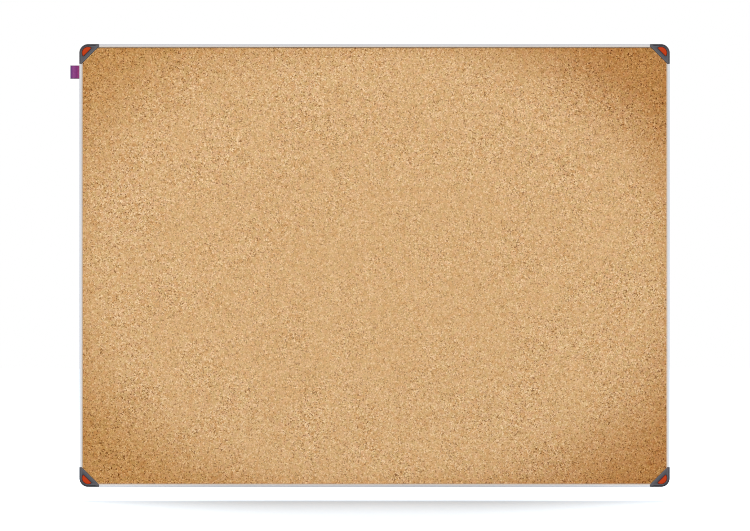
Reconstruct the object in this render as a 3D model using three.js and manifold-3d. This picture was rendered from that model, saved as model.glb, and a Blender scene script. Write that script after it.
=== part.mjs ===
// Framed cork board that hangs on a wall by four screws behind covers in its corners.
// Millimetres. X runs to the right of a person looking at the cork, Z up, Y towards the wall.
// The origin is the middle of the board's outline in the plane of the wall.
import * as THREE from 'three';
import { mergeVertices } from 'three/addons/utils/BufferGeometryUtils.js';
import Module from 'manifold-3d';

// Overall size, outer face to outer face of the frame
const BOARD_WIDTH = 800;
const BOARD_HEIGHT = 600;

// Panel, from the front to the back
const CORK_THICKNESS = 3;
const CORK_SQUEEZE = 0.3; // how far the lips press the cork's margin down
const CORE_THICKNESS = 5;
const BACKING_THICKNESS = 0.5;
const GLUE_LINE = 0.1;
const PANEL_CLEARANCE = 0.2; // cork margin to lip, and backing to web
const PANEL_EDGE_CLEARANCE = 0.4; // panel edge to the rail's outer wall
const FIELD_GAP = 0.3; // raised cork to the edge of a lip or a corner plate

// Aluminium rail
const RAIL_WALL = 1.2;
const LIP_WIDTH = 4.5; // what the front lip shows
const LIP_THICKNESS = 1.5;
const LIP_EDGE_RADIUS = 0.7;
const RAIL_EDGE_RADIUS = 1;
const RAIL_BACK_RADIUS = 0.5;
const WEB_THICKNESS = 1;
const BACK_WIDTH = 12; // rail behind the panel, outer face to inner face
const KEY_SLOT_DEPTH = 2.6;
const KEY_SLOT_WALL = 1;
const KEY_SLOT_MOUTH = 5.6;
const BACK_LIP_THICKNESS = 1;

// Corner moulding
const CORNER_RADIUS = 12;
const CORNER_LEG = 26.8; // length of the front plate along each rail
const CORNER_DIAGONAL = 30; // distances of the slanted edge from both outer faces, added
const PLATE_THICKNESS = 1.6;
const PLATE_EDGE_WIDTH = 2.2; // rounded front edge along the outside of the plate
const PLATE_EDGE_DEPTH = 1.1;
const PLATE_CLEARANCE = 0.2; // plate to the lip behind it
const PLATE_OVERLAP = 2.1; // slanted edge of the plate past the cut corner of the panel
const PLATE_RIM = 1.2; // wall along the slanted edge that reaches back to the cork
const RAIL_SHOULDER = 4; // end of the round outer corner to the end of a rail
const RAIL_END_GAP = 0.3;
const CORNER_WALL = 1.6;
const CORNER_FRONT = 2.4; // floor of the cover's pocket to the hollow behind
const CORNER_RIB = 1;
const TONGUE_LENGTH = 18;
const TONGUE_CLEARANCE = 0.15;
const TONGUE_TIP = 2; // chamfer at the end of a tongue

// Screw cover and the hole for the wall screw behind it
const COVER_INSET = 3.7; // outer edge of the corner to the cover
const COVER_DIAGONAL = 22.4; // distances of its straight edge from both outer faces, added
const COVER_TIP_RADIUS = 1;
const COVER_THICKNESS = 1.5;
const COVER_EDGE = 0.4;
const COVER_SINK = 0.15; // front of the plate to the front of the cover
const COVER_CLEARANCE = 0.2;
const COVER_STEM_WALL = 0.8;
const COVER_STEM_LENGTH = 4;
const COVER_STEM_SLIT = 1.2;
const WALL_SCREW_HOLE = 3.6;
const WALL_SCREW_HEAD = 6;
const WALL_SCREW_HEAD_DEPTH = 7.5; // floor of the pocket to the countersink
const BOSS_WALL = 1;

// Locking screw in each tongue
const LOCK_SCREW_SETBACK = 9; // end of the rail to the screw
const LOCK_SCREW_SHANK = 2.6;
const LOCK_SCREW_HEAD = 5;
const LOCK_SCREW_HEAD_HEIGHT = 0.9;
const LOCK_SCREW_HEAD_EDGE = 0.4;
const LOCK_SCREW_TIP_EDGE = 0.4;
const LOCK_SCREW_RECESS = 0.5;
const LOCK_SCREW_RECESS_LENGTH = 3;
const LOCK_SCREW_RECESS_WIDTH = 0.7;
const LOCK_SCREW_CLEARANCE = 0.2;
const LOCK_SCREW_SEAT = 0.05;

// Folded fabric tag glued to the back of the left rail
const TAG_REACH = 13; // past the outer face of the rail
const TAG_TUCK = 10; // behind the rail
const TAG_HEIGHT = 18;
const TAG_DROP = 28.4; // top of the board to the top of the tag
const TAG_THICKNESS = 0.3; // one layer
const TAG_FOLD_GAP = 0.2; // between the two layers
const TAG_CLEARANCE = 0.1;

const CUT_PAST = 1; // how far a cut runs past the face that it opens
const ROUND_SEGMENTS = 24;
const ARC_SEGMENTS = 6;

// Depths behind the front face of the rails
const CORK_MARGIN_FRONT = LIP_THICKNESS + PANEL_CLEARANCE;
const CORK_FRONT = CORK_MARGIN_FRONT - CORK_SQUEEZE;
const CORK_BACK = CORK_FRONT + CORK_THICKNESS;
const CORE_FRONT = CORK_BACK + GLUE_LINE;
const CORE_BACK = CORE_FRONT + CORE_THICKNESS;
const BACKING_FRONT = CORE_BACK + GLUE_LINE;
const BACKING_BACK = BACKING_FRONT + BACKING_THICKNESS;
const WEB_FRONT = BACKING_BACK + PANEL_CLEARANCE;
const SLOT_FRONT = WEB_FRONT + WEB_THICKNESS;
const SLOT_BACK = SLOT_FRONT + KEY_SLOT_DEPTH;
const RAIL_DEPTH = SLOT_BACK + BACK_LIP_THICKNESS;
const FOOT_PROUD = 2 * TAG_THICKNESS + TAG_FOLD_GAP + 2 * TAG_CLEARANCE;
const WALL_DEPTH = RAIL_DEPTH + FOOT_PROUD;
const PLATE_BACK = -PLATE_CLEARANCE;
const PLATE_FRONT = PLATE_BACK - PLATE_THICKNESS;
const POCKET_FLOOR = PLATE_FRONT + COVER_SINK + COVER_THICKNESS + COVER_CLEARANCE;

// Distances inward from the outer face of a rail, or from both outer faces of a corner
const PANEL_EDGE = RAIL_WALL + PANEL_EDGE_CLEARANCE;
const PANEL_CUT = CORNER_DIAGONAL - PLATE_OVERLAP * Math.SQRT2;
const SLOT_OUTER = RAIL_WALL;
const SLOT_INNER = BACK_WIDTH - KEY_SLOT_WALL;
const SLOT_MIDDLE = (SLOT_OUTER + SLOT_INNER) / 2;
const RAIL_SETBACK = CORNER_RADIUS + RAIL_SHOULDER;
const BODY_LEG = RAIL_SETBACK - RAIL_END_GAP;
const BODY_CUT = PANEL_CUT - RAIL_END_GAP * Math.SQRT2;
const COVER_RADIUS = CORNER_RADIUS - COVER_INSET;
const COVER_CHORD = (2 * CORNER_RADIUS - COVER_DIAGONAL) / Math.SQRT2;
const SCREW_OFFSET = (COVER_CHORD + COVER_RADIUS) / 2; // centre of the corner's round to the wall screw
const STEM_RADIUS = WALL_SCREW_HEAD / 2 - COVER_CLEARANCE;

const wasm = await Module();
wasm.setup();

const paint = (color, roughness, metalness = 0) =>
  new THREE.MeshStandardMaterial({ color, roughness, metalness });
const FINISH = {
  cork: paint(0xcb9f6b, 0.95),
  core: paint(0x8a6f52, 0.95),
  kraft: paint(0xa98862, 0.9),
  aluminium: paint(0xd8d8dc, 0.38, 0.9),
  corner: paint(0x5a5d64, 0.5),
  cover: paint(0xc84626, 0.35),
  screw: paint(0xb9bcc0, 0.35, 0.9),
  tag: paint(0x8f4582, 0.9),
};

// A closed geometry as a solid for joins and cuts.
function solid(geometry) {
  const bare = new THREE.BufferGeometry().setAttribute('position', geometry.getAttribute('position').clone());
  if (geometry.index) bare.setIndex(geometry.index);
  const merged = mergeVertices(bare, 1e-4);
  const found = merged.index.array;
  const kept = [];
  for (let i = 0; i < found.length; i += 3) {
    const [a, b, c] = [found[i], found[i + 1], found[i + 2]];
    if (a !== b && b !== c && a !== c) kept.push(a, b, c);
  }
  return new wasm.Manifold(new wasm.Mesh({
    numProp: 3,
    vertProperties: merged.attributes.position.array,
    triVerts: new Uint32Array(kept),
  }));
}

// A solid as a geometry that can be drawn.
function geometryOf(made) {
  const mesh = made.getMesh();
  const points = new Float32Array(mesh.numVert * 3);
  for (let i = 0; i < mesh.numVert; i += 1) {
    points.set(mesh.vertProperties.subarray(i * mesh.numProp, i * mesh.numProp + 3), i * 3);
  }
  const geometry = new THREE.BufferGeometry()
    .setAttribute('position', new THREE.BufferAttribute(points, 3))
    .setIndex(new THREE.BufferAttribute(new Uint32Array(mesh.triVerts), 1))
    .toNonIndexed();
  geometry.computeVertexNormals();
  return geometry;
}

function outline(points) {
  return new THREE.Shape(points.map(([x, y]) => new THREE.Vector2(x, y)));
}

// An outline drawn facing the viewer, carried from one depth to another.
function prism(shape, front, back) {
  return new THREE.ExtrudeGeometry(shape, { depth: back - front, bevelEnabled: false, curveSegments: ARC_SEGMENTS })
    .rotateX(Math.PI / 2)
    .translate(0, back, 0);
}

// The same, with a rounded edge round its front.
function roundedPrism(shape, front, back, width, depth) {
  return solid(
    new THREE.ExtrudeGeometry(shape, {
      depth: back - front,
      bevelEnabled: true,
      bevelSize: width,
      bevelOffset: -width,
      bevelThickness: depth,
      bevelSegments: 4,
      curveSegments: ARC_SEGMENTS,
    })
      .rotateX(Math.PI / 2)
      .translate(0, back + depth, 0),
  ).trimByPlane([0, -1, 0], -back);
}

// A round pin or hole along the depth.
function rod(radius, front, back) {
  return new THREE.CylinderGeometry(radius, radius, back - front, ROUND_SEGMENTS).translate(0, (front + back) / 2, 0);
}

// The board's outline, moved in, with its corners cut where the distances from both outer faces add up to cut.
function cutRectangle(inset, cut) {
  const w = BOARD_WIDTH / 2;
  const h = BOARD_HEIGHT / 2;
  const c = cut - inset;
  return outline([
    [-w + c, h - inset], [-w + inset, h - c], [-w + inset, -h + c], [-w + c, -h + inset],
    [w - c, -h + inset], [w - inset, -h + c], [w - inset, h - c], [w - c, h - inset],
  ]);
}

// Cross-section of a rail: inward from its outer face, and back from its front face.
function railProfile() {
  const mouth = [SLOT_MIDDLE - KEY_SLOT_MOUTH / 2, SLOT_MIDDLE + KEY_SLOT_MOUTH / 2];
  const shape = new THREE.Shape();
  shape.moveTo(RAIL_EDGE_RADIUS, 0);
  shape.lineTo(LIP_WIDTH - LIP_EDGE_RADIUS, 0);
  shape.absarc(LIP_WIDTH - LIP_EDGE_RADIUS, LIP_EDGE_RADIUS, LIP_EDGE_RADIUS, -Math.PI / 2, 0, false);
  shape.lineTo(LIP_WIDTH, LIP_THICKNESS);
  shape.lineTo(RAIL_WALL, LIP_THICKNESS);
  shape.lineTo(RAIL_WALL, WEB_FRONT);
  shape.lineTo(BACK_WIDTH, WEB_FRONT);
  shape.lineTo(BACK_WIDTH, RAIL_DEPTH);
  shape.lineTo(mouth[1], RAIL_DEPTH);
  shape.lineTo(mouth[1], SLOT_BACK);
  shape.lineTo(SLOT_INNER, SLOT_BACK);
  shape.lineTo(SLOT_INNER, SLOT_FRONT);
  shape.lineTo(SLOT_OUTER, SLOT_FRONT);
  shape.lineTo(SLOT_OUTER, SLOT_BACK);
  shape.lineTo(mouth[0], SLOT_BACK);
  shape.lineTo(mouth[0], RAIL_DEPTH);
  shape.lineTo(RAIL_BACK_RADIUS, RAIL_DEPTH);
  shape.absarc(RAIL_BACK_RADIUS, RAIL_DEPTH - RAIL_BACK_RADIUS, RAIL_BACK_RADIUS, Math.PI / 2, Math.PI, false);
  shape.lineTo(0, RAIL_EDGE_RADIUS);
  shape.absarc(RAIL_EDGE_RADIUS, RAIL_EDGE_RADIUS, RAIL_EDGE_RADIUS, Math.PI, 1.5 * Math.PI, false);
  return shape;
}

// One rail, upright, with a hole in its web for the locking screw at each end.
function railGeometry(span) {
  const length = span - 2 * RAIL_SETBACK;
  const bar = solid(
    new THREE.ExtrudeGeometry(railProfile(), { depth: length, bevelEnabled: false, curveSegments: ARC_SEGMENTS })
      .translate(0, 0, -length / 2),
  );
  const reach = length / 2 - LOCK_SCREW_SETBACK;
  const radius = LOCK_SCREW_SHANK / 2 + LOCK_SCREW_CLEARANCE;
  const holes = [-reach, reach].map((z) =>
    solid(rod(radius, WEB_FRONT - CUT_PAST, SLOT_FRONT + CUT_PAST).translate(SLOT_MIDDLE, 0, z)));
  return geometryOf(holes.reduce((left, hole) => left.subtract(hole), bar));
}

// Outline of a corner, from the outer corner inward to the right and down, moved in by inset.
function cornerOutline(leg, cut, inset) {
  const r = CORNER_RADIUS;
  const e = leg - inset;
  const c = cut - inset * Math.SQRT2;
  const shape = new THREE.Shape();
  shape.moveTo(inset, -r);
  shape.lineTo(inset, -e);
  shape.lineTo(c - e, -e);
  shape.lineTo(e, e - c);
  shape.lineTo(e, -inset);
  shape.lineTo(r, -inset);
  shape.absarc(r, -r, r - inset, Math.PI / 2, Math.PI, false);
  return shape;
}

// Outline of a screw cover about the centre of the corner's round: a slice of a circle with rounded tips.
function coverOutline(grow) {
  const radius = COVER_RADIUS + grow;
  const chord = COVER_CHORD - grow;
  const tip = COVER_TIP_RADIUS + grow;
  const side = Math.sqrt((radius - tip) ** 2 - (chord + tip) ** 2);
  const turn = Math.atan2(chord + tip, side);
  const shape = new THREE.Shape();
  shape.moveTo(-side, chord);
  shape.lineTo(side, chord);
  shape.absarc(side, chord + tip, tip, -Math.PI / 2, turn, false);
  shape.absarc(0, 0, radius, turn, Math.PI - turn, false);
  shape.absarc(-side, chord + tip, tip, Math.PI - turn, 1.5 * Math.PI, false);
  return shape;
}

// Turns a cover's outline towards the corner and puts it at the centre of the corner's round.
const toCorner = (made) => made.rotate([0, -45, 0]).translate([CORNER_RADIUS, 0, -CORNER_RADIUS]);

// Moulded corner: front plate, hollow body with a screw boss, and a tongue for each of the two rails.
function cornerGeometry() {
  // The plate's edge is rounded along the outside only; its ends and its slanted edge are cut square.
  const spare = 2 * PLATE_EDGE_WIDTH;
  const plate = roundedPrism(
    cornerOutline(CORNER_LEG + spare, CORNER_DIAGONAL + 2 * spare, 0),
    PLATE_FRONT, PLATE_BACK, PLATE_EDGE_WIDTH, PLATE_EDGE_DEPTH,
  )
    .trimByPlane([-1, 0, 0], -CORNER_LEG)
    .trimByPlane([0, 0, 1], -CORNER_LEG)
    .trimByPlane([-Math.SQRT1_2, 0, Math.SQRT1_2], -CORNER_DIAGONAL * Math.SQRT1_2);

  const near = LIP_WIDTH + FIELD_GAP;
  const rimInner = CORNER_DIAGONAL - PLATE_RIM * Math.SQRT2;
  const rim = solid(prism(
    outline([
      [near, near - rimInner], [near, near - CORNER_DIAGONAL],
      [CORNER_DIAGONAL - near, -near], [rimInner - near, -near],
    ]),
    PLATE_BACK - PLATE_THICKNESS / 4, CORK_MARGIN_FRONT - PANEL_CLEARANCE,
  ));

  const body = solid(prism(
    cornerOutline(BODY_LEG, BODY_CUT, 0), PLATE_BACK - PLATE_THICKNESS / 4, WALL_DEPTH,
  ));
  const hollowFront = POCKET_FLOOR + CORNER_FRONT;
  const hollow = solid(prism(
    cornerOutline(BODY_LEG, BODY_CUT, CORNER_WALL), hollowFront, WALL_DEPTH + CUT_PAST,
  ));
  const screwAt = [CORNER_RADIUS - SCREW_OFFSET / Math.SQRT2, 0, SCREW_OFFSET / Math.SQRT2 - CORNER_RADIUS];
  const boss = solid(rod(WALL_SCREW_HEAD / 2 + BOSS_WALL, hollowFront - CUT_PAST, WALL_DEPTH)).translate(screwAt);
  const ribs = [0, 90].map((turn) =>
    solid(new THREE.BoxGeometry(4 * BODY_LEG, RAIL_DEPTH - hollowFront + CUT_PAST, CORNER_RIB)
      .translate(0, (hollowFront - CUT_PAST + RAIL_DEPTH) / 2, 0))
      .rotate([0, turn, 0]).translate(screwAt));
  const cored = ribs.reduce((left, rib) => left.subtract(rib), hollow.subtract(boss));

  const headBack = POCKET_FLOOR + WALL_SCREW_HEAD_DEPTH;
  const sink = (WALL_SCREW_HEAD - WALL_SCREW_HOLE) / 2;
  const screwHole = solid(new THREE.LatheGeometry([
    [0, PLATE_FRONT], [WALL_SCREW_HEAD / 2, PLATE_FRONT], [WALL_SCREW_HEAD / 2, headBack],
    [WALL_SCREW_HOLE / 2, headBack + sink], [WALL_SCREW_HOLE / 2, WALL_DEPTH + CUT_PAST], [0, WALL_DEPTH + CUT_PAST],
  ].map(([r, d]) => new THREE.Vector2(r, d)), ROUND_SEGMENTS)).translate(screwAt);
  const pocket = toCorner(solid(prism(coverOutline(COVER_CLEARANCE), PLATE_FRONT - CUT_PAST, POCKET_FLOOR)));

  const outer = SLOT_OUTER + TONGUE_CLEARANCE;
  const inner = SLOT_INNER - TONGUE_CLEARANCE;
  const end = RAIL_SETBACK + TONGUE_LENGTH;
  const lock = RAIL_SETBACK + LOCK_SCREW_SETBACK;
  const lockHole = rod(LOCK_SCREW_SHANK / 2 + LOCK_SCREW_CLEARANCE, SLOT_FRONT - CUT_PAST, SLOT_BACK + CUT_PAST);
  const tongues = [
    [[BODY_LEG - CORNER_WALL, -inner], [end - TONGUE_TIP, -inner], [end, -inner + TONGUE_TIP],
      [end, -outer - TONGUE_TIP], [end - TONGUE_TIP, -outer], [BODY_LEG - CORNER_WALL, -outer]],
    [[outer, CORNER_WALL - BODY_LEG], [outer, TONGUE_TIP - end], [outer + TONGUE_TIP, -end],
      [inner - TONGUE_TIP, -end], [inner, TONGUE_TIP - end], [inner, CORNER_WALL - BODY_LEG]],
  ].map((points) => solid(prism(outline(points), SLOT_FRONT + TONGUE_CLEARANCE, SLOT_BACK - TONGUE_CLEARANCE)));
  const across = tongues[0].subtract(solid(lockHole).translate([lock, 0, -SLOT_MIDDLE]));
  const down = tongues[1].subtract(solid(lockHole).translate([SLOT_MIDDLE, 0, -lock]));

  return geometryOf(
    plate.add(rim).add(body.subtract(cored)).subtract(screwHole).subtract(pocket).add(across).add(down),
  );
}

// Snap-in cover over the wall screw: rounded plate and a split stem that grips the screw's bore.
function coverGeometry() {
  const front = PLATE_FRONT + COVER_SINK;
  const back = front + COVER_THICKNESS;
  const plate = roundedPrism(coverOutline(0), front, back, COVER_EDGE, COVER_EDGE);
  const end = POCKET_FLOOR + COVER_STEM_LENGTH;
  const tube = solid(rod(STEM_RADIUS, back - COVER_THICKNESS / 2, end))
    .subtract(solid(rod(STEM_RADIUS - COVER_STEM_WALL, back, end + CUT_PAST)))
    .subtract(solid(new THREE.BoxGeometry(4 * STEM_RADIUS, end, COVER_STEM_SLIT).translate(0, POCKET_FLOOR + end / 2, 0)));
  return geometryOf(plate.add(tube.translate([0, 0, SCREW_OFFSET])));
}

// Small pan-head screw with a cross recess, head towards the wall.
function lockScrewGeometry() {
  const seat = SLOT_BACK - TONGUE_CLEARANCE + LOCK_SCREW_SEAT;
  const top = seat + LOCK_SCREW_HEAD_HEIGHT;
  const shank = LOCK_SCREW_SHANK / 2;
  const tip = WEB_FRONT + LOCK_SCREW_SEAT;
  const turned = solid(new THREE.LatheGeometry([
    [0, tip], [shank - LOCK_SCREW_TIP_EDGE, tip], [shank, tip + LOCK_SCREW_TIP_EDGE], [shank, seat], [LOCK_SCREW_HEAD / 2, seat],
    [LOCK_SCREW_HEAD / 2, top - LOCK_SCREW_HEAD_EDGE], [LOCK_SCREW_HEAD / 2 - LOCK_SCREW_HEAD_EDGE, top], [0, top],
  ].map(([r, d]) => new THREE.Vector2(r, d)), ROUND_SEGMENTS));
  const bar = new THREE.BoxGeometry(LOCK_SCREW_RECESS_LENGTH, 2 * LOCK_SCREW_RECESS, LOCK_SCREW_RECESS_WIDTH)
    .translate(0, top, 0);
  const cross = solid(bar).add(solid(bar).rotate([0, 90, 0]));
  return geometryOf(turned.subtract(cross));
}

// Ribbon folded once, its fold standing out to the left of the rail.
function tagGeometry() {
  const whole = 2 * TAG_THICKNESS + TAG_FOLD_GAP;
  const fold = whole / 2 - TAG_REACH;
  const shape = new THREE.Shape();
  shape.moveTo(TAG_TUCK, 0);
  shape.lineTo(TAG_TUCK, TAG_THICKNESS);
  shape.lineTo(fold, TAG_THICKNESS);
  shape.absarc(fold, whole / 2, TAG_FOLD_GAP / 2, -Math.PI / 2, Math.PI / 2, true);
  shape.lineTo(TAG_TUCK, whole - TAG_THICKNESS);
  shape.lineTo(TAG_TUCK, whole);
  shape.lineTo(fold, whole);
  shape.absarc(fold, whole / 2, whole / 2, Math.PI / 2, 1.5 * Math.PI, false);
  return new THREE.ExtrudeGeometry(shape, { depth: TAG_HEIGHT, bevelEnabled: false, curveSegments: ARC_SEGMENTS });
}

function piece(name, geometry, finish) {
  const mesh = new THREE.Mesh(geometry, finish);
  mesh.name = name;
  return mesh;
}

const board = new THREE.Group();
board.name = 'cork_board';

// Everything is placed from the front face of the rails, which stands this far off the wall.
const assembly = new THREE.Group();
assembly.position.y = -WALL_DEPTH;
board.add(assembly);

const margin = cutRectangle(PANEL_EDGE, PANEL_CUT);
const field = cutRectangle(LIP_WIDTH + FIELD_GAP, CORNER_DIAGONAL + FIELD_GAP * Math.SQRT2);
const cork = solid(prism(margin, CORK_MARGIN_FRONT, CORK_BACK)).add(solid(prism(field, CORK_FRONT, CORK_BACK)));
assembly.add(
  piece('cork_sheet', geometryOf(cork), FINISH.cork),
  piece('softboard_core', prism(margin, CORE_FRONT, CORE_BACK), FINISH.core),
  piece('backing_sheet', prism(margin, BACKING_FRONT, BACKING_BACK), FINISH.kraft),
);

// Rails, turned from the left one.
const upright = railGeometry(BOARD_HEIGHT);
const level = railGeometry(BOARD_WIDTH);
[['left', upright, BOARD_WIDTH], ['top', level, BOARD_HEIGHT], ['right', upright, BOARD_WIDTH], ['bottom', level, BOARD_HEIGHT]]
  .forEach(([side, geometry, span], i) => {
    const turned = new THREE.Group();
    turned.rotation.y = (i * Math.PI) / 2;
    const rail = piece('rail_' + side, geometry, FINISH.aluminium);
    rail.position.x = -span / 2;
    turned.add(rail);
    assembly.add(turned);
  });

// Corners with their covers and locking screws, turned from the top left one.
const moulding = cornerGeometry();
const cover = coverGeometry();
const lockScrew = lockScrewGeometry();
[['top_left', -1, 1], ['top_right', 1, 1], ['bottom_right', 1, -1], ['bottom_left', -1, -1]]
  .forEach(([place, right, up], i) => {
    const corner = new THREE.Group();
    corner.position.set((right * BOARD_WIDTH) / 2, 0, (up * BOARD_HEIGHT) / 2);
    corner.rotation.y = (i * Math.PI) / 2;
    corner.add(piece('corner_' + place, moulding, FINISH.corner));
    const lid = piece('screw_cover_' + place, cover, FINISH.cover);
    lid.position.set(CORNER_RADIUS, 0, -CORNER_RADIUS);
    lid.rotation.y = -Math.PI / 4;
    corner.add(lid);
    const lock = RAIL_SETBACK + LOCK_SCREW_SETBACK;
    [['a', lock, SLOT_MIDDLE], ['b', SLOT_MIDDLE, lock]].forEach(([which, x, z]) => {
      const screw = piece('locking_screw_' + place + '_' + which, lockScrew, FINISH.screw);
      screw.position.set(x, 0, -z);
      corner.add(screw);
    });
    assembly.add(corner);
  });

const tag = piece('fabric_tag', tagGeometry(), FINISH.tag);
tag.position.set(-BOARD_WIDTH / 2, RAIL_DEPTH + TAG_CLEARANCE, BOARD_HEIGHT / 2 - TAG_DROP - TAG_HEIGHT);
assembly.add(tag);

export default board;
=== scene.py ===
"""Framed cork board: its visible surfaces and finishes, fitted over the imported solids.

Sizes are in millimetres and become metres where a mesh is made. X runs to the right of a person
looking at the cork, Z up, and Y towards the wall, which is the plane y = 0. A depth is counted
backwards from the front face of the rails.
"""

import logging
import math
from dataclasses import dataclass, field
from enum import Enum
from functools import partial
from typing import Any, Callable, Optional, Sequence

import bpy
import numpy as np
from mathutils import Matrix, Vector
from numpy.typing import NDArray


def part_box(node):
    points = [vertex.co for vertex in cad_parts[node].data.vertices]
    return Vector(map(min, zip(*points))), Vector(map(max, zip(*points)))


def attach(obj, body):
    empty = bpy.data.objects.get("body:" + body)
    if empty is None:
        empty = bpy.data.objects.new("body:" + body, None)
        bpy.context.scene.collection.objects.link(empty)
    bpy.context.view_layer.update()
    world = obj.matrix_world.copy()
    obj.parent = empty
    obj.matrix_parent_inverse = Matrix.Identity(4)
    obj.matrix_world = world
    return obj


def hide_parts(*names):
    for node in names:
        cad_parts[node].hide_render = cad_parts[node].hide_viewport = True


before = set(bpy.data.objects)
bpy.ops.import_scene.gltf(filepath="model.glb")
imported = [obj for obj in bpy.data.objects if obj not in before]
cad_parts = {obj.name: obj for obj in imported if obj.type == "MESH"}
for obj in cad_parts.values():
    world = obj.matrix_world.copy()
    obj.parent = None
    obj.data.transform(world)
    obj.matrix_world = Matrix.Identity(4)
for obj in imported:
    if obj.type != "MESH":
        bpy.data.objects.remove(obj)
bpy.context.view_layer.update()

log = logging.getLogger("cork_board")
Array = NDArray[np.float64]
Index = NDArray[np.int64]
Colour = tuple[float, float, float, float]
NodeAdder = Callable[..., bpy.types.Node]

MM = 0.001
QUARTER = math.pi / 2
PHOTO_WIDTH = 750
PHOTO_HEIGHT = 531

# Sockets of a Mix node that mixes colours: the share of the second, both colours and the result.
SHARE, FIRST, SECOND, MIXED = 0, 6, 7, 2

# Normals tried on each arc of an outline, and the least that one has to face a direction.
ARC_NORMALS, LEAST_FACING = 25, 1e-6
# Part of its quarter turn at which a rounded edge starts, and how many rings it has.
EDGE_START, EDGE_STEPS = 0.12, 4
# Part of its cell in which the middle of a grain lies.
GRAIN_ROOM = (0.05, 0.95)
# Direction of the outer corner at the top left, the cosines from it between which a side stops
# being an outer one, and the share of the rounded edge that the square-cut sides get.
OUTWARD = 0.75 * math.pi
OUTER_SPAN = (0.5, 0.7)
SQUARE_SHARE = 0.2


class Place(Enum):
    """The four corners, each a quarter turn after the one before, with its side and height."""

    TOP_LEFT = ("top_left", 0, -1.0, 1.0)
    TOP_RIGHT = ("top_right", 1, 1.0, 1.0)
    BOTTOM_RIGHT = ("bottom_right", 2, 1.0, -1.0)
    BOTTOM_LEFT = ("bottom_left", 3, -1.0, -1.0)

    @property
    def label(self) -> str:
        """Name that the corner's nodes and bodies carry."""
        return self.value[0]

    @property
    def turns(self) -> int:
        """Quarter turns from the top left corner."""
        return self.value[1]

    def origin(self, sizes: "BoardSizes") -> Array:
        """Outer corner of the board at the front face of the rails, in millimetres."""
        _, _, right, up = self.value
        return np.array([right * sizes.width / 2, -sizes.wall_depth, up * sizes.height / 2])


class Side(Enum):
    """The four rails, each a quarter turn after the one before."""

    LEFT = ("left", 0)
    TOP = ("top", 1)
    RIGHT = ("right", 2)
    BOTTOM = ("bottom", 3)

    @property
    def label(self) -> str:
        """Name that the rail's node carries."""
        return self.value[0]

    @property
    def turns(self) -> int:
        """Quarter turns from the left rail."""
        return self.value[1]

    @property
    def upright(self) -> bool:
        """Whether the rail stands upright."""
        return self.turns % 2 == 0


def node_box(node: str) -> tuple[Array, Array]:
    """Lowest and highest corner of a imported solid, in millimetres."""
    low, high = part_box(node)
    return np.round(np.array(low) / MM, 3), np.round(np.array(high) / MM, 3)


@dataclass(frozen=True)
class BoardSizes:
    """Sizes that several pieces share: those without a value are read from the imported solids."""

    width: float
    height: float
    wall_depth: float
    rail_depth: float
    panel_edge: float
    cork_front: float
    cork_back: float
    plate_front: float
    lip_width: float = 4.5
    lip_thickness: float = 1.5
    cork_squeeze: float = 0.3
    web: float = 1.0
    slot_depth: float = 2.6
    back_lip: float = 1.0
    slot_outer: float = 1.2
    slot_inner: float = 11.0
    corner_radius: float = 12.0
    corner_diagonal: float = 30.0
    plate_thickness: float = 1.6
    plate_overlap: float = 2.1
    rail_shoulder: float = 4.0
    end_gap: float = 0.3
    tongue_clearance: float = 0.15
    cover_inset: float = 3.7
    cover_diagonal: float = 22.4
    cover_tip: float = 1.0
    cover_thickness: float = 1.5
    cover_sink: float = 0.15
    cover_clearance: float = 0.2
    screw_head: float = 6.0

    @classmethod
    def measured(cls) -> "BoardSizes":
        """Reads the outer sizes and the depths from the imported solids.

        Returns:
            The sizes of this board.
        """
        rail_low, rail_high = node_box("rail_right")
        cork_low, cork_high = node_box("cork_sheet")
        front = rail_low[1]
        return cls(
            width=2 * rail_high[0],
            height=2 * node_box("rail_top")[1][2],
            wall_depth=-front,
            rail_depth=rail_high[1] - front,
            panel_edge=rail_high[0] - cork_high[0],
            cork_front=cork_low[1] - front,
            cork_back=cork_high[1] - front,
            plate_front=node_box("corner_top_left")[0][1] - front,
        )

    @property
    def slot_back(self) -> float:
        """Depth of the back of the key slot."""
        return self.rail_depth - self.back_lip

    @property
    def slot_front(self) -> float:
        """Depth of the front of the key slot."""
        return self.slot_back - self.slot_depth

    @property
    def web_front(self) -> float:
        """Depth of the web that the panel rests on."""
        return self.slot_front - self.web

    @property
    def slot_middle(self) -> float:
        """Middle of the key slot, inward from the outer face of a rail."""
        return (self.slot_outer + self.slot_inner) / 2

    @property
    def rail_setback(self) -> float:
        """End of a rail, from the outer corner of the board."""
        return self.corner_radius + self.rail_shoulder

    @property
    def panel_cut(self) -> float:
        """Distances of the panel's cut corner from both outer faces, added."""
        return self.corner_diagonal - self.plate_overlap * math.sqrt(2)

    @property
    def plate_back(self) -> float:
        """Depth of the back of a corner's front plate."""
        return self.plate_front + self.plate_thickness

    @property
    def cover_front(self) -> float:
        """Depth of the rim of a screw cover."""
        return self.plate_front + self.cover_sink

    @property
    def pocket_floor(self) -> float:
        """Depth of the floor under a screw cover."""
        return self.cover_front + self.cover_thickness + self.cover_clearance

    @property
    def cover_radius(self) -> float:
        """Radius of a screw cover's arc, about the centre of the corner's round."""
        return self.corner_radius - self.cover_inset

    @property
    def cover_chord(self) -> float:
        """Centre of the corner's round to the straight edge of a screw cover."""
        return (2 * self.corner_radius - self.cover_diagonal) / math.sqrt(2)

    @property
    def screw_axis(self) -> Array:
        """Axis of the wall screw, across and up from the outer corner at the top left."""
        reach = (self.cover_chord + self.cover_radius) / 2 / math.sqrt(2)
        return np.array([self.corner_radius - reach, reach - self.corner_radius])


# Outlines and shells


def smooth(value: Array, low: float, high: float) -> Array:
    """0 below low, 1 above high, and 3t^2 - 2t^3 between."""
    t = np.clip((value - low) / (high - low), 0, 1)
    return t * t * (3 - 2 * t)


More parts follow.
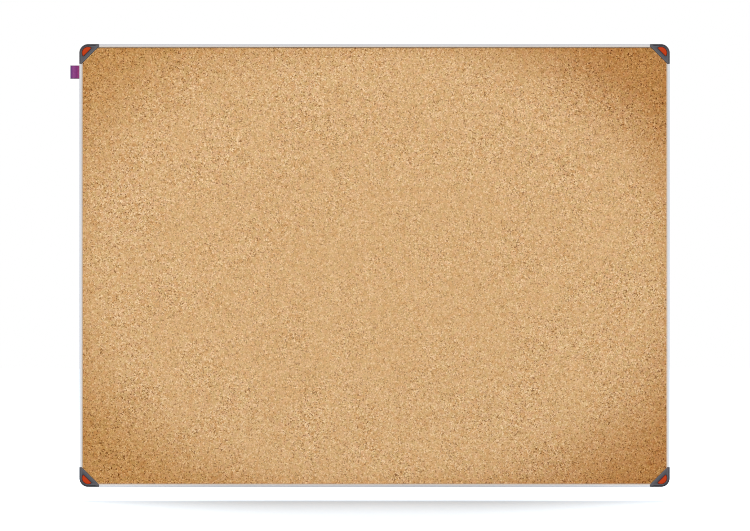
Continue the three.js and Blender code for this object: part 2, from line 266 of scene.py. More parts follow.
def spokes(angles: Array) -> Array:
    """Unit vectors (cos, sin), one for each angle."""
    return np.stack([np.cos(angles), np.sin(angles)], axis=-1)


def section(flat: Array, depth: float | Array) -> Array:
    """Points of an outline, across and up, at a depth behind the front face of the rails."""
    return np.stack([flat[:, 0], np.broadcast_to(depth, len(flat)), flat[:, 1]], axis=1)


def grid_faces(number: Index) -> Index:
    """Four point numbers for each cell of a grid of point numbers."""
    cells = [number[:-1, :-1], number[1:, :-1], number[1:, 1:], number[:-1, 1:]]
    return np.stack(cells, axis=2).reshape(-1, 4)


def lengths(path: Array) -> Array:
    """Distance along a path of points, from 0 at the first."""
    return np.concatenate([[0.0], np.cumsum(np.linalg.norm(np.diff(path, axis=0), axis=1))])


def fillet(corners: Sequence[Sequence[float]], radii: Sequence[float], steps: int = 7) -> Array:
    """A closed polygon with every corner rounded by an arc.

    The arc touches both edges, so it starts r * tan(turn / 2) before the corner, and its centre is
    r to the side that the outline turns to.

    Args:
        corners: The sharp corners in order.
        radii: Radius at each corner, all above zero.
        steps: Points on each arc.

    Returns:
        The rounded outline, one row a point.
    """
    corner, radius = np.asarray(corners, dtype=float), np.asarray(radii, dtype=float)
    ahead = np.roll(corner, -1, axis=0) - corner
    heading = np.arctan2(ahead[:, 1], ahead[:, 0])
    arriving = np.roll(heading, 1)
    turn = (heading - arriving + math.pi) % (2 * math.pi) - math.pi
    along = spokes(arriving)
    aside = np.stack([-along[:, 1], along[:, 0]], axis=1) * np.sign(turn)[:, None]
    start = corner - along * (radius * np.tan(np.abs(turn) / 2))[:, None]
    centre = start + aside * radius[:, None]
    first = np.arctan2(-aside[:, 1], -aside[:, 0])
    angle = first[:, None] + turn[:, None] * np.linspace(0, 1, steps)[None, :]
    return (centre[:, None, :] + spokes(angle) * radius[:, None, None]).reshape(-1, 2)


@dataclass(frozen=True)
class Outline:
    """A convex outline: arcs in order, anticlockwise, with a straight edge from each to the next.

    Attributes:
        centres: Centre of each arc.
        radii: Radius of each arc.
        starts: Angle at which each arc begins, in radians.
        ends: Angle at which each arc ends.
    """

    centres: Array
    radii: Array
    starts: Array
    ends: Array

    @classmethod
    def polygon(cls, corners: Sequence[Sequence[float]], radii: Sequence[float]) -> "Outline":
        """A convex polygon with rounded corners.

        Each arc's centre lies r / cos(sweep / 2) behind its corner, on the line halfway between
        the normals of the two edges that meet there.

        Args:
            corners: Sharp corners, anticlockwise.
            radii: Radius at each corner.

        Returns:
            The outline.
        """
        corner, radius = np.asarray(corners, dtype=float), np.asarray(radii, dtype=float)
        edge = np.roll(corner, -1, axis=0) - corner
        normal = np.arctan2(edge[:, 1], edge[:, 0]) - QUARTER
        before = np.roll(normal, 1)
        sweep = (normal - before) % (2 * math.pi)
        back = spokes(before + sweep / 2) * (radius / np.cos(sweep / 2))[:, None]
        return cls(corner - back, radius, before, before + sweep)

    def arcs(self, steps: int) -> Array:
        """Angles on every arc, one row an arc."""
        return self.starts[:, None] + (self.ends - self.starts)[:, None] * np.linspace(0, 1, steps)

    def ring(self, inset: float, steps: int = 6) -> Array:
        """The outline moved in: centre + (r - inset) * (cos, sin) on each arc.

        Args:
            inset: How far in, less than the smallest radius.
            steps: Points on each arc.

        Returns:
            The points in order, one row each.
        """
        arcs = spokes(self.arcs(steps)) * (self.radii - inset)[:, None, None]
        return (self.centres[:, None, :] + arcs).reshape(-1, 2)

    def reach(self, origin: Array, angles: Array, inset: float,
              share: Optional[Callable[[Array], Array]] = None) -> tuple[Array, Array]:
        """Distance from an inner point to the outline in each direction.

        The outline is where the half-planes n . p <= n . centre + r - inset meet, so the distance
        along u is the least of (offset - n . origin) / (n . u) over the normals that face u.

        Args:
            origin: A point inside.
            angles: Directions in radians.
            inset: How far the outline is moved in.
            share: Part of the inset that an edge gets, from the angle of its normal; all by default.

        Returns:
            The distances, and the angle of the normal of the edge that each direction meets.
        """
        turn = self.arcs(ARC_NORMALS)
        normal = spokes(turn)
        room = np.einsum("asc,ac->as", normal, self.centres) + self.radii[:, None]
        room = room - inset * (1.0 if share is None else share(turn))
        normal, turn = normal.reshape(-1, 2), turn.ravel()
        room = room.ravel() - normal @ origin
        facing = spokes(angles) @ normal.T
        distance = np.where(facing > LEAST_FACING, room[None, :] / np.maximum(facing, LEAST_FACING), np.inf)
        nearest = distance.argmin(axis=1)
        return distance[np.arange(len(angles)), nearest], turn[nearest]

    def even_angles(self, origin: Array, count: int) -> Array:
        """Directions from an inner point that divide the outline into equal lengths.

        Args:
            origin: A point inside.
            count: How many directions.

        Returns:
            The angles in radians, rising.
        """
        angle = np.linspace(0, 2 * math.pi, 8 * count + 1)
        walked = lengths(spokes(angle) * self.reach(origin, angle, 0.0)[0][:, None])
        return np.interp(np.arange(count) / count * walked[-1], walked, angle)


@dataclass
class Shell:
    """A closed surface in millimetres.

    Attributes:
        points: Its points.
        quads: Four point numbers a face.
        ends: Flat faces that close it, each a ring of point numbers.
        uv: Metres along and across the surface at each corner of each quad, where it has them.
        tone: A number at each point that a finish reads.
    """

    points: Array
    quads: Index
    ends: list[Index] = field(default_factory=list)
    uv: Optional[Array] = None
    tone: Optional[Array] = None

    @classmethod
    def loft(cls, rings: Array, endless: bool = False, tone: Optional[Array] = None,
             along: Optional[Array] = None) -> "Shell":
        """Rings joined one to the next: a surface of two parameters, ring number and place on the ring.

        Args:
            rings: Rings by points by three.
            endless: Join the last ring to the first; otherwise both are closed by a flat face.
            tone: A number for each point of each ring.
            along: Distance of each ring in millimetres; gives the surface a UV map.

        Returns:
            The closed surface, facing out.
        """
        rows, columns, _ = rings.shape
        row = np.arange(rows if endless else rows - 1)[:, None]
        column = np.arange(columns)[None, :]
        below, after = (row + 1) % rows, (column + 1) % columns
        quads = np.stack([row * columns + column, row * columns + after,
                          below * columns + after, below * columns + column], axis=2).reshape(-1, 4)
        first = np.arange(columns)
        ends = [] if endless else [first[::-1], first + (rows - 1) * columns]
        uv = None
        if along is not None:
            around = lengths(np.concatenate([rings[0], rings[0][:1]]))
            u = np.stack([along[row], along[row], along[below], along[below]], axis=2)
            v = np.stack([around[column], around[column + 1], around[column + 1], around[column]], axis=2)
            uv = np.stack(np.broadcast_arrays(u, v), axis=3).reshape(-1, 4, 2) * MM
        marks = None if tone is None else tone.ravel()
        return cls(rings.reshape(-1, 3), quads, ends, uv, marks).facing_out()

    @classmethod
    def pillow(cls, outline: Outline, front: float, back: float, edge: float, tone: float = 0.0) -> "Shell":
        """A flat solid with rounded edges: the outline carried through the depth, moved in by
        edge * (1 - sin t) at both ends.

        Args:
            outline: Its outline, across and up.
            front: Depth of its front.
            back: Depth of its back.
            edge: Radius of the edges.
            tone: Number that a finish reads.

        Returns:
            The closed surface.
        """
        t = np.linspace(EDGE_START, 1, EDGE_STEPS) * QUARTER
        inset, rise = edge * (1 - np.sin(t)), edge * (1 - np.cos(t))
        insets = np.concatenate([inset, inset[::-1]])
        depths = np.concatenate([front + rise, (back - rise)[::-1]])
        rings = np.stack([section(outline.ring(i), d) for i, d in zip(insets, depths)])
        return cls.loft(rings, tone=np.full(rings.shape[:2], tone))

    @classmethod
    def joined(cls, shells: Sequence["Shell"]) -> "Shell":
        """Several closed surfaces as one, their points numbered one after the other.

        Args:
            shells: The surfaces.

        Returns:
            All of them in one.
        """
        shift = np.cumsum([0] + [len(s.points) for s in shells])[:-1]
        tones = [np.zeros(len(s.points)) if s.tone is None else s.tone for s in shells]
        return cls(
            np.concatenate([s.points for s in shells]),
            np.concatenate([s.quads + k for s, k in zip(shells, shift)]),
            [end + k for s, k in zip(shells, shift) for end in s.ends],
            None,
            np.concatenate(tones),
        )

    def facing_out(self) -> "Shell":
        """Turns the faces so that the volume inside, a sum of a . (b x c), counts as positive.

        Returns:
            The same surface.
        """
        a, b, c, d = (self.points[self.quads[:, k]] for k in range(4))
        volume = np.einsum("ij,ij->", np.cross(a, b), c) + np.einsum("ij,ij->", np.cross(a, c), d)
        for end in self.ends:
            ring = self.points[end]
            volume += np.einsum("ij,j->", np.cross(ring[1:-1], ring[2:]), ring[0])
        if volume < 0:
            self.quads = self.quads[:, ::-1]
            self.ends = [end[::-1] for end in self.ends]
            self.uv = None if self.uv is None else self.uv[:, ::-1]
        return self

    def moved(self, shift: Sequence[float], quarter_turns: int = 0) -> "Shell":
        """A copy turned about the Y axis, to the right as the viewer sees it, and then moved.

        Args:
            shift: Where the origin goes.
            quarter_turns: How many quarter turns come first.

        Returns:
            The copy.
        """
        c, s = math.cos(quarter_turns * QUARTER), math.sin(quarter_turns * QUARTER)
        points = self.points @ np.array([[c, 0, -s], [0, 1, 0], [s, 0, c]]) + np.asarray(shift)
        return Shell(points, self.quads, self.ends, self.uv, self.tone)

    def piece(self, name: str, sharp: float = 40.0) -> bpy.types.Object:
        """The surface as an object at the origin.

        Args:
            name: The object's name.
            sharp: Edges that turn by more than this many degrees are shaded as sharp.

        Returns:
            The new object, in the scene.
        """
        corners = np.concatenate([self.quads.ravel(), *self.ends]).astype(np.int32)
        counts = np.array([4] * len(self.quads) + [len(end) for end in self.ends], dtype=np.int32)
        mesh = bpy.data.meshes.new(name)
        mesh.vertices.add(len(self.points))
        mesh.vertices.foreach_set("co", (self.points * MM).astype(np.float32).ravel())
        mesh.loops.add(len(corners))
        mesh.loops.foreach_set("vertex_index", corners)
        mesh.polygons.add(len(counts))
        starts = np.concatenate([[0], np.cumsum(counts)[:-1]]).astype(np.int32)
        mesh.polygons.foreach_set("loop_start", starts)
        mesh.polygons.foreach_set("use_smooth", np.ones(len(counts), dtype=bool))
        if self.uv is not None:
            spread = np.zeros((len(corners), 2), dtype=np.float32)
            spread[:4 * len(self.quads)] = self.uv.reshape(-1, 2)
            mesh.uv_layers.new(name="along").data.foreach_set("uv", spread.ravel())
        if self.tone is not None:
            tone = mesh.attributes.new("tone", "FLOAT", "POINT")
            tone.data.foreach_set("value", self.tone.astype(np.float32))
        mesh.update(calc_edges=True)
        mesh.validate()
        mesh.set_sharp_from_angle(angle=math.radians(sharp))
        made = bpy.data.objects.new(name, mesh)
        bpy.context.scene.collection.objects.link(made)
        return made


def granules(x: Array, z: Array, size: float, seed: int) -> tuple[Array, Array]:
    """Packed grains: each cell of a square grid holds one point at a chance place.

    Args:
        x: Places across, in millimetres.
        z: Places up.
        size: Mean width of a grain.
        seed: Seed of the chance places.

    Returns:
        How far each place is from the crevice between its two nearest grains, over the grain's
        width, and a chance height from -1 to 1 for the grain that it lies on.
    """
    chance = np.random.default_rng(seed)
    across, up = (x - x.min()) / size, (z - z.min()) / size
    column, row = np.floor(across).astype(int) + 1, np.floor(up).astype(int) + 1
    shape = (row.max() + 2, column.max() + 2)
    jitter = chance.uniform(*GRAIN_ROOM, (*shape, 2))
    heights = chance.uniform(-1, 1, shape)
    near = np.full(x.shape, np.inf)
    second, height = near.copy(), np.zeros(x.shape)
    for down, over in ((i, j) for i in (-1, 0, 1) for j in (-1, 0, 1)):
        r, c = row + down, column + over
        distance = np.hypot(c - 1 + jitter[r, c, 0] - across, r - 1 + jitter[r, c, 1] - up)
        height = np.where(distance < near, heights[r, c], height)
        second = np.where(distance < near, near, np.minimum(second, distance))
        near = np.minimum(near, distance)
    return second - near, height


# Finishes


def linear(colour: str) -> Colour:
    """An sRGB hex colour as linear light.

    Args:
        colour: Six hex digits after a hash.

    Returns:
        Red, green, blue and an opacity of 1.
    """
    parts = [int(colour[k:k + 2], 16) / 255 for k in (1, 3, 5)]
    red, green, blue = (p / 12.92 if p <= 0.04045 else ((p + 0.055) / 1.055) ** 2.4 for p in parts)
    return red, green, blue, 1.0


def add_node(tree: bpy.types.NodeTree, kind: str, inputs: Optional[dict[str | int, Any]] = None,
             stops: Sequence[tuple[float, str]] = (), **settings: Any) -> bpy.types.Node:
    """Adds a node with its settings, values and links.

    Args:
        tree: Node tree of a material or the world.
        kind: Type of the node, without the prefix that shader nodes share.
        inputs: For each input, by name or number, a value, or the output or node that feeds it.
        stops: Position and sRGB hex colour of each stop of a colour ramp, rising.
        **settings: Properties of the node.

    Returns:
        The node.
    """
    node = tree.nodes.new("ShaderNode" + kind)
    for name, value in settings.items():
        setattr(node, name, value)
    for key, value in (inputs or {}).items():
        source = value.outputs[0] if isinstance(value, bpy.types.Node) else value
        if isinstance(source, bpy.types.NodeSocket):
            tree.links.new(source, node.inputs[key])
        else:
            node.inputs[key].default_value = source
    for number, (position, colour) in enumerate(stops):
        ramp = node.color_ramp.elements
        stop = ramp[number] if number < len(ramp) else ramp.new(position)
        stop.position, stop.color = position, linear(colour)
    return node


def new_material(name: str) -> tuple[bpy.types.Material, NodeAdder]:
    """A material with an empty node tree.

    Args:
        name: Name of the real material.

    Returns:
        The material, and add_node for its tree.
    """
    material = bpy.data.materials.new(name)
    material.use_nodes = True
    material.node_tree.nodes.clear()
    return material, partial(add_node, material.node_tree)


def dress(piece: bpy.types.Object, material: bpy.types.Material) -> None:
    """Gives a piece one material all over."""
    piece.data.materials.clear()
    piece.data.materials.append(material)


def fit(piece: bpy.types.Object, material: bpy.types.Material, body: str, node: str) -> bpy.types.Object:
    """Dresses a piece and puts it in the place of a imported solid.

    Args:
        piece: The new piece.
        material: Its material.
        body: Body that it moves with.
        node: Solid that it stands for.

    Returns:
        The piece.
    """
    dress(piece, material)
    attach(piece, body)
    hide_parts(node)
    return piece


@dataclass(frozen=True)
class Layer:
    """A colour over others: nothing of it where a pattern is at start, its most where it is at full."""

    start: float
    full: float
    most: float
    tint: str


@dataclass(frozen=True)
class CorkFinish:
    """Agglomerated cork: ground bark pressed with binder, sliced and sanded.

    The eye sees a matt speckle of tan grains, cream chips and dark bark specks with fine crevices
    between them, in cloudy patches. Painted shade darkens the crevices, a margin along the frame and
    the corners, browner there, and painted light washes out the grain in the middle.
    """

    half_width: float
    half_height: float
    grain: float = 1.75
    chip: float = 1.5
    pore: float = 0.9
    ragged: float = 1.2
    tear: float = 0.8
    patch: float = 60.0
    stain: float = 6.0
    margin: tuple[float, float] = (4.0, 22.0)
    patch_span: tuple[float, float] = (0.35, 0.65)
    patch_strength: tuple[float, float] = (0.55, 0.93)
    # Painted light: the grain's contrast is lowered in the middle of the board.
    worn_span: tuple[float, float] = (0.15, 0.8)
    middle_strength: float = 0.74
    corner_strength: float = 0.2
    corner_start: float = 0.88
    corner_full: tuple[float, float] = (1.34, 1.27)
    diagonal_span: tuple[float, float] = (-0.5, 0.5)
    side_span: tuple[float, float] = (-0.6, 0.6)
    grain_crown: float = 0.35
    pore_share: float = 0.25
    relief: float = 0.35
    relief_height: float = 0.6
    grains: tuple[tuple[float, str], ...] = (
        (0.0, "#B4864F"), (0.14, "#D1A46D"), (0.5, "#DFB683"), (0.85, "#EFC692"), (1.0, "#FFDCAA"),
    )
    plain: str = "#D6AC77"
    ruddy: Layer = Layer(0.5, 0.66, 0.44, "#DBA064")
    straw: Layer = Layer(0.5, 0.66, 0.44, "#D8BB80")
    blush: Layer = Layer(0.5, 0.66, 0.38, "#EABC99")
    cream: Layer = Layer(0.81, 0.94, 0.95, "#FFDFB4")
    # The crevice layer is painted shade between the grains.
    crevice: Layer = Layer(0.12, 0.02, 0.35, "#845523")
    bark: Layer = Layer(0.83, 0.93, 0.93, "#7C4C1B")
    # Painted shade: a brownish darkening towards the corners, stronger on the right, and along the frame.
    brown_left: str = "#E7D5B5"
    brown_right: str = "#DCC29E"
    margin_brown: str = "#FAF6F0"

    def speckle(self, add: NodeAdder, place: bpy.types.Node, distance: bpy.types.NodeSocket,
                corner: bpy.types.Node) -> tuple[bpy.types.NodeSocket, bpy.types.Node]:
        """Grains, specks and chips with crevices between them, stronger in patches and at the corners.

        Args:
            add: Adds a node to the material.
            place: Place in millimetres.
            distance: Distance from the middle, over the half sizes.
            corner: 0 in the field and 1 at the corners.

        Returns:
            The colour, and the distance from the crevices in grain widths.
        """
        # A wander of up to a quarter of a grain makes the grains ragged instead of cut like gems.
        wander = add("TexNoise", {"Vector": place, "Scale": 1 / self.ragged, "Detail": 2.0})
        centred = add("VectorMath", {0: wander.outputs["Color"], 1: (0.5, 0.5, 0.5)}, operation="SUBTRACT")
        pushed = add("VectorMath", {0: centred, "Scale": self.tear}, operation="SCALE")
        torn = add("VectorMath", {0: place, 1: pushed}, operation="ADD")

        cells = add("TexVoronoi", {"Vector": torn, "Scale": 1 / self.grain}).outputs["Color"]
        shade = add("SeparateColor", {"Color": cells}).outputs["Red"]
        body = add("ValToRGB", {"Fac": shade}, stops=self.grains)
        chips = add("TexVoronoi", {"Vector": torn, "Scale": 1 / self.chip}).outputs["Color"]
        lot = add("SeparateColor", {"Color": chips}).outputs
        edge = add("TexVoronoi", {"Vector": torn, "Scale": 1 / self.grain}, feature="DISTANCE_TO_EDGE")
        cloud = add("TexNoise", {"Vector": place, "Scale": 1 / self.patch, "Detail": 3.0, "Roughness": 0.6})
        tinge = add("TexNoise", {"Vector": place, "Scale": 1 / self.stain, "Detail": 0.0}).outputs["Color"]
        stain = add("SeparateColor", {"Color": tinge}).outputs

        # Patches differ in contrast; the middle of the board has less of it, washed out as painted light,
        # and the corners more.
        low, high = self.patch_span
        weak, strong = self.patch_strength
        strength = add("MapRange", {"Value": cloud, "From Min": low, "From Max": high,
                                    "To Min": weak, "To Max": strong})
        near, far = self.worn_span
        painted_light = add("MapRange", {"Value": distance, "From Min": near, "From Max": far,
                                "To Min": self.middle_strength, "To Max": 1.0})
        patchy = add("Math", {0: strength, 1: painted_light}, operation="MULTIPLY")
        boost = add("Math", {0: corner, 1: self.corner_strength, 2: patchy}, operation="MULTIPLY_ADD")
        colour = add("Mix", {SHARE: boost, FIRST: linear(self.plain), SECOND: body},
                     data_type="RGBA").outputs[MIXED]
        # About one chip in eight is a cream fleck and one in eight a bark speck; crevices, painted darker
        # as shade, reach about a tenth of a grain to each side.
        layers = (
            (stain["Red"], self.ruddy), (stain["Green"], self.straw), (stain["Blue"], self.blush),
            (lot["Blue"], self.cream), (edge, self.crevice), (lot["Green"], self.bark),
        )
        for value, layer in layers:
            cover = add("MapRange", {"Value": value, "From Min": layer.start, "From Max": layer.full,
                                     "To Max": layer.most})
            share = add("Math", {0: cover, 1: boost}, operation="MULTIPLY")
            colour = add("Mix", {SHARE: share, FIRST: colour, SECOND: linear(layer.tint)},
                         data_type="RGBA").outputs[MIXED]
        return colour, edge

    def browned(self, add: NodeAdder, colour: bpy.types.NodeSocket, across: bpy.types.Node,
                side: bpy.types.NodeSocket, corner: bpy.types.Node) -> bpy.types.NodeSocket:
        """Paints shade on the cork: darker and browner towards the corners, more on the right, and in a
        narrow margin along the frame.

        Args:
            add: Adds a node to the material.
            colour: The speckled colour.
            across: Place over the half sizes, from -1 to 1.
            side: The same, across alone.
            corner: 0 in the field and 1 at the corners.

        Returns:
            The colour with its painted shade.
        """
        left, right = self.side_span
        part = add("MapRange", {"Value": side, "From Min": left, "From Max": right})
        corner_shade = add("Mix", {SHARE: part, FIRST: linear(self.brown_left), SECOND: linear(self.brown_right)},
                    data_type="RGBA").outputs[MIXED]
        half = np.array([self.half_width, 0.0, self.half_height])
        folded = add("VectorMath", {0: across}, operation="ABSOLUTE")
        inward = add("VectorMath", {0: folded, 1: tuple(-half), 2: tuple(half)}, operation="MULTIPLY_ADD")
        edges = add("SeparateXYZ", {"Vector": inward}).outputs
        nearest = add("Math", {0: edges["X"], 1: edges["Z"]}, operation="MINIMUM")
        near, far = self.margin
        margin = add("MapRange", {"Value": nearest, "From Min": far, "From Max": near},
                     interpolation_type="SMOOTHSTEP")
        for share, tint in ((corner, corner_shade), (margin, linear(self.margin_brown))):
            colour = add("Mix", {SHARE: share, FIRST: colour, SECOND: tint},
                         data_type="RGBA", blend_type="MULTIPLY").outputs[MIXED]
        return colour

    def material(self) -> bpy.types.Material:
        """The cork as a material on Object coordinates.

        Returns:
            The material.
        """
        material, add = new_material("agglomerated_cork")
        coords = add("TexCoord").outputs["Object"]
        place = add("VectorMath", {0: coords, "Scale": 1 / MM}, operation="SCALE")
        # Corners: 0 in the field, 1 where the distance over the half sizes is full, which comes a
        # little sooner towards the upper right and the lower left.
        across = add("VectorMath", {0: place, 1: (1 / self.half_width, 0.0, 1 / self.half_height)},
                     operation="MULTIPLY")
        distance = add("VectorMath", {0: across}, operation="LENGTH").outputs["Value"]
        sides = add("SeparateXYZ", {"Vector": across}).outputs
        diagonal = add("Math", {0: sides["X"], 1: sides["Z"]}, operation="MULTIPLY")
        falling, rising = self.diagonal_span
        late, soon = self.corner_full
        full = add("MapRange", {"Value": diagonal, "From Min": falling, "From Max": rising,
                                "To Min": late, "To Max": soon})
        corner = add("MapRange", {"Value": distance, "From Min": self.corner_start, "From Max": full},
                     interpolation_type="SMOOTHSTEP")
        speckled, edge = self.speckle(add, place, distance, corner)
        colour = self.browned(add, speckled, across, sides["X"], corner)
        crown = add("Math", {0: edge, 1: self.grain_crown}, operation="MINIMUM")
        pores = add("TexNoise", {"Vector": place, "Scale": 1 / self.pore, "Detail": 2.0})
        height = add("Math", {0: pores, 1: self.pore_share, 2: crown}, operation="MULTIPLY_ADD")
        bump = add("Bump", {"Height": height, "Strength": self.relief, "Distance": self.relief_height * MM})
        shader = add("BsdfPrincipled", {"Base Color": colour, "Roughness": 0.92,
                                        "Specular IOR Level": 0.2, "Normal": bump})
        add("OutputMaterial", {"Surface": shader})
        return material


@dataclass(frozen=True)
class AluminiumFinish:
    """Satin anodised aluminium, extruded and etched before anodising.

    The eye sees a soft pale grey metal with faint lengthwise die lines and no mirror image.
    """

    # Colour around the profile, with painted reflection on its rounded edges.
    tint: tuple[tuple[float, str], ...] = (
        (0.0, "#CFCFD2"), (0.25, "#DEDEE2"), (0.45, "#DBD6D3"), (0.62, "#D6C9BB"), (0.8, "#EBDAC4"),
        (0.93, "#DCC8AA"), (1.0, "#D3D3D7"),
    )
    drawn: tuple[tuple[float, str], ...] = ((0.3, "#EAEAEC"), (0.7, "#FFFFFF"))
    lip_end: float = 6.6
    die_line: float = 0.9
    die_length: float = 250.0
    relief_height: float = 0.2
    roughness: tuple[float, float] = (0.25, 0.38)

    def material(self) -> bpy.types.Material:
        """The rail's metal on the UV map that runs along it.

        Returns:
            The material.
        """
        material, add = new_material("satin_anodised_aluminium")
        along = add("UVMap", uv_map="along")
        # Real die lines are finer than 0.1 mm; they are drawn 0.9 mm wide so that they show.
        scale = (1 / (self.die_length * MM), 1 / (self.die_line * MM), 1.0)
        stretched = add("Mapping", {"Vector": along, "Scale": scale})
        lines = add("TexNoise", {"Vector": stretched, "Scale": 1.0, "Detail": 3.0})
        # Painted reflection: a darker grey on the outer front edge and a warm grey on the lip's inner edge,
        # as if the cork showed in it.
        around = add("SeparateXYZ", {"Vector": along}).outputs["Y"]
        part = add("MapRange", {"Value": around, "From Max": self.lip_end * MM})
        painted_light = add("ValToRGB", {"Fac": part}, stops=self.tint)
        drawn = add("ValToRGB", {"Fac": lines}, stops=self.drawn)
        colour = add("Mix", {SHARE: 1.0, FIRST: painted_light, SECOND: drawn},
                     data_type="RGBA", blend_type="MULTIPLY").outputs[MIXED]
        sleek, dull = self.roughness
        rough = add("MapRange", {"Value": lines, "To Min": sleek, "To Max": dull})
        bump = add("Bump", {"Height": lines, "Strength": 0.05, "Distance": self.relief_height * MM})
        shader = add("BsdfPrincipled", {"Base Color": colour, "Metallic": 1.0, "Roughness": rough,
                                        "Normal": bump})
        add("OutputMaterial", {"Surface": shader})
        return material


@dataclass(frozen=True)
class MouldedPlasticFinish:
    """Injection-moulded plastic, its mould spark-eroded or polished.

    The eye sees one colour through the whole piece, a soft or wet sheen and a fine pebble in the
    face. Where the tone attribute marks them, edges and hollows carry painted shade and painted
    reflection in a darker colour.
    """

    name: str
    face: str
    edge: str
    roughness: float
    pebble: float
    relief: float
    gloss: float
    cloud: float = 6.0
    drift: float = 0.08
    unevenness: float = 0.06
    relief_height: float = 0.3

    def material(self) -> bpy.types.Material:
        """The plastic on Object coordinates.

        Returns:
            The material.
        """
        material, add = new_material(self.name)
        coords = add("TexCoord").outputs["Object"]
        tone = add("Attribute", attribute_name="tone").outputs["Fac"]
        cloud = add("TexNoise", {"Vector": coords, "Scale": 1 / (self.cloud * MM), "Detail": 2.0})
        drift = add("MapRange", {"Value": cloud, "To Min": -self.drift, "To Max": self.drift})
        share = add("Math", {0: tone, 1: drift}, operation="ADD", use_clamp=True)
        colour = add("Mix", {SHARE: share, FIRST: linear(self.face), SECOND: linear(self.edge)},
                     data_type="RGBA").outputs[MIXED]
        pebbles = add("TexNoise", {"Vector": coords, "Scale": 1 / (self.pebble * MM), "Detail": 2.0})
        rough = add("MapRange", {"Value": pebbles, "To Min": self.roughness - self.unevenness,
                                 "To Max": self.roughness + self.unevenness})
        bump = add("Bump", {"Height": pebbles, "Strength": self.relief, "Distance": self.relief_height * MM})
        shader = add("BsdfPrincipled", {"Base Color": colour, "Roughness": rough, "IOR": 1.53,
                                        "Specular IOR Level": self.gloss, "Normal": bump})
        add("OutputMaterial", {"Surface": shader})
        return material


@dataclass(frozen=True)
class FibreFinish:
    """Pressed plant fibre: kraft paper off the roll, or softboard felted in a wet press.

    The eye sees a matt brown with long pale and dark fibres, cloudy where they lie thicker.
    """

    name: str
    colour: str
    dark: str
    fibre: float
    cloud: float
    relief: float
    cloudy: float
    slender: float = 12.0
    contrast: tuple[float, float] = (0.36, 0.6)
    relief_height: float = 0.4

    def material(self) -> bpy.types.Material:
        """The fibre sheet on Object coordinates.

        Returns:
            The material.
        """
        material, add = new_material(self.name)
        coords = add("TexCoord").outputs["Object"]
        # Fibres lie mostly across the sheet; real ones are about 0.03 mm wide and are drawn coarser.
        across = 1 / (self.fibre * MM)
        laid = add("Mapping", {"Vector": coords, "Scale": (across / self.slender, across, across)})
        fibres = add("TexNoise", {"Vector": laid, "Scale": 1.0, "Detail": 4.0, "Distortion": 0.6})
        clouds = add("TexNoise", {"Vector": coords, "Scale": 1 / (self.cloud * MM), "Detail": 3.0})
        mixed = add("Mix", {0: self.cloudy, 2: fibres, 3: clouds})
        colour = add("ValToRGB", {"Fac": mixed}, stops=list(zip(self.contrast, (self.dark, self.colour))))
        bump = add("Bump", {"Height": fibres, "Strength": self.relief, "Distance": self.relief_height * MM})
        shader = add("BsdfPrincipled", {"Base Color": colour, "Roughness": 0.88,
                                        "Specular IOR Level": 0.25, "Normal": bump})
        add("OutputMaterial", {"Surface": shader})
        return material


@dataclass(frozen=True)
class ZincSteelFinish:
    """Zinc-plated steel, barrel plated and passivated clear.

    The eye sees a grey metal with a slight blue and straw cast and soft highlights.
    """

    cast: tuple[tuple[float, str], ...] = ((0.38, "#B3B8C0"), (0.62, "#C2BDAF"))
    patch: float = 1.6
    roughness: tuple[float, float] = (0.26, 0.42)

    def material(self) -> bpy.types.Material:
        """The plating on Object coordinates.

        Returns:
            The material.
        """
        material, add = new_material("zinc_plated_steel")
        coords = add("TexCoord").outputs["Object"]
        patches = add("TexNoise", {"Vector": coords, "Scale": 1 / (self.patch * MM), "Detail": 3.0})
        colour = add("ValToRGB", {"Fac": patches}, stops=self.cast)
        sleek, dull = self.roughness
        rough = add("MapRange", {"Value": patches, "To Min": sleek, "To Max": dull})
        shader = add("BsdfPrincipled", {"Base Color": colour, "Metallic": 1.0, "Roughness": rough})
        add("OutputMaterial", {"Surface": shader})
        return material


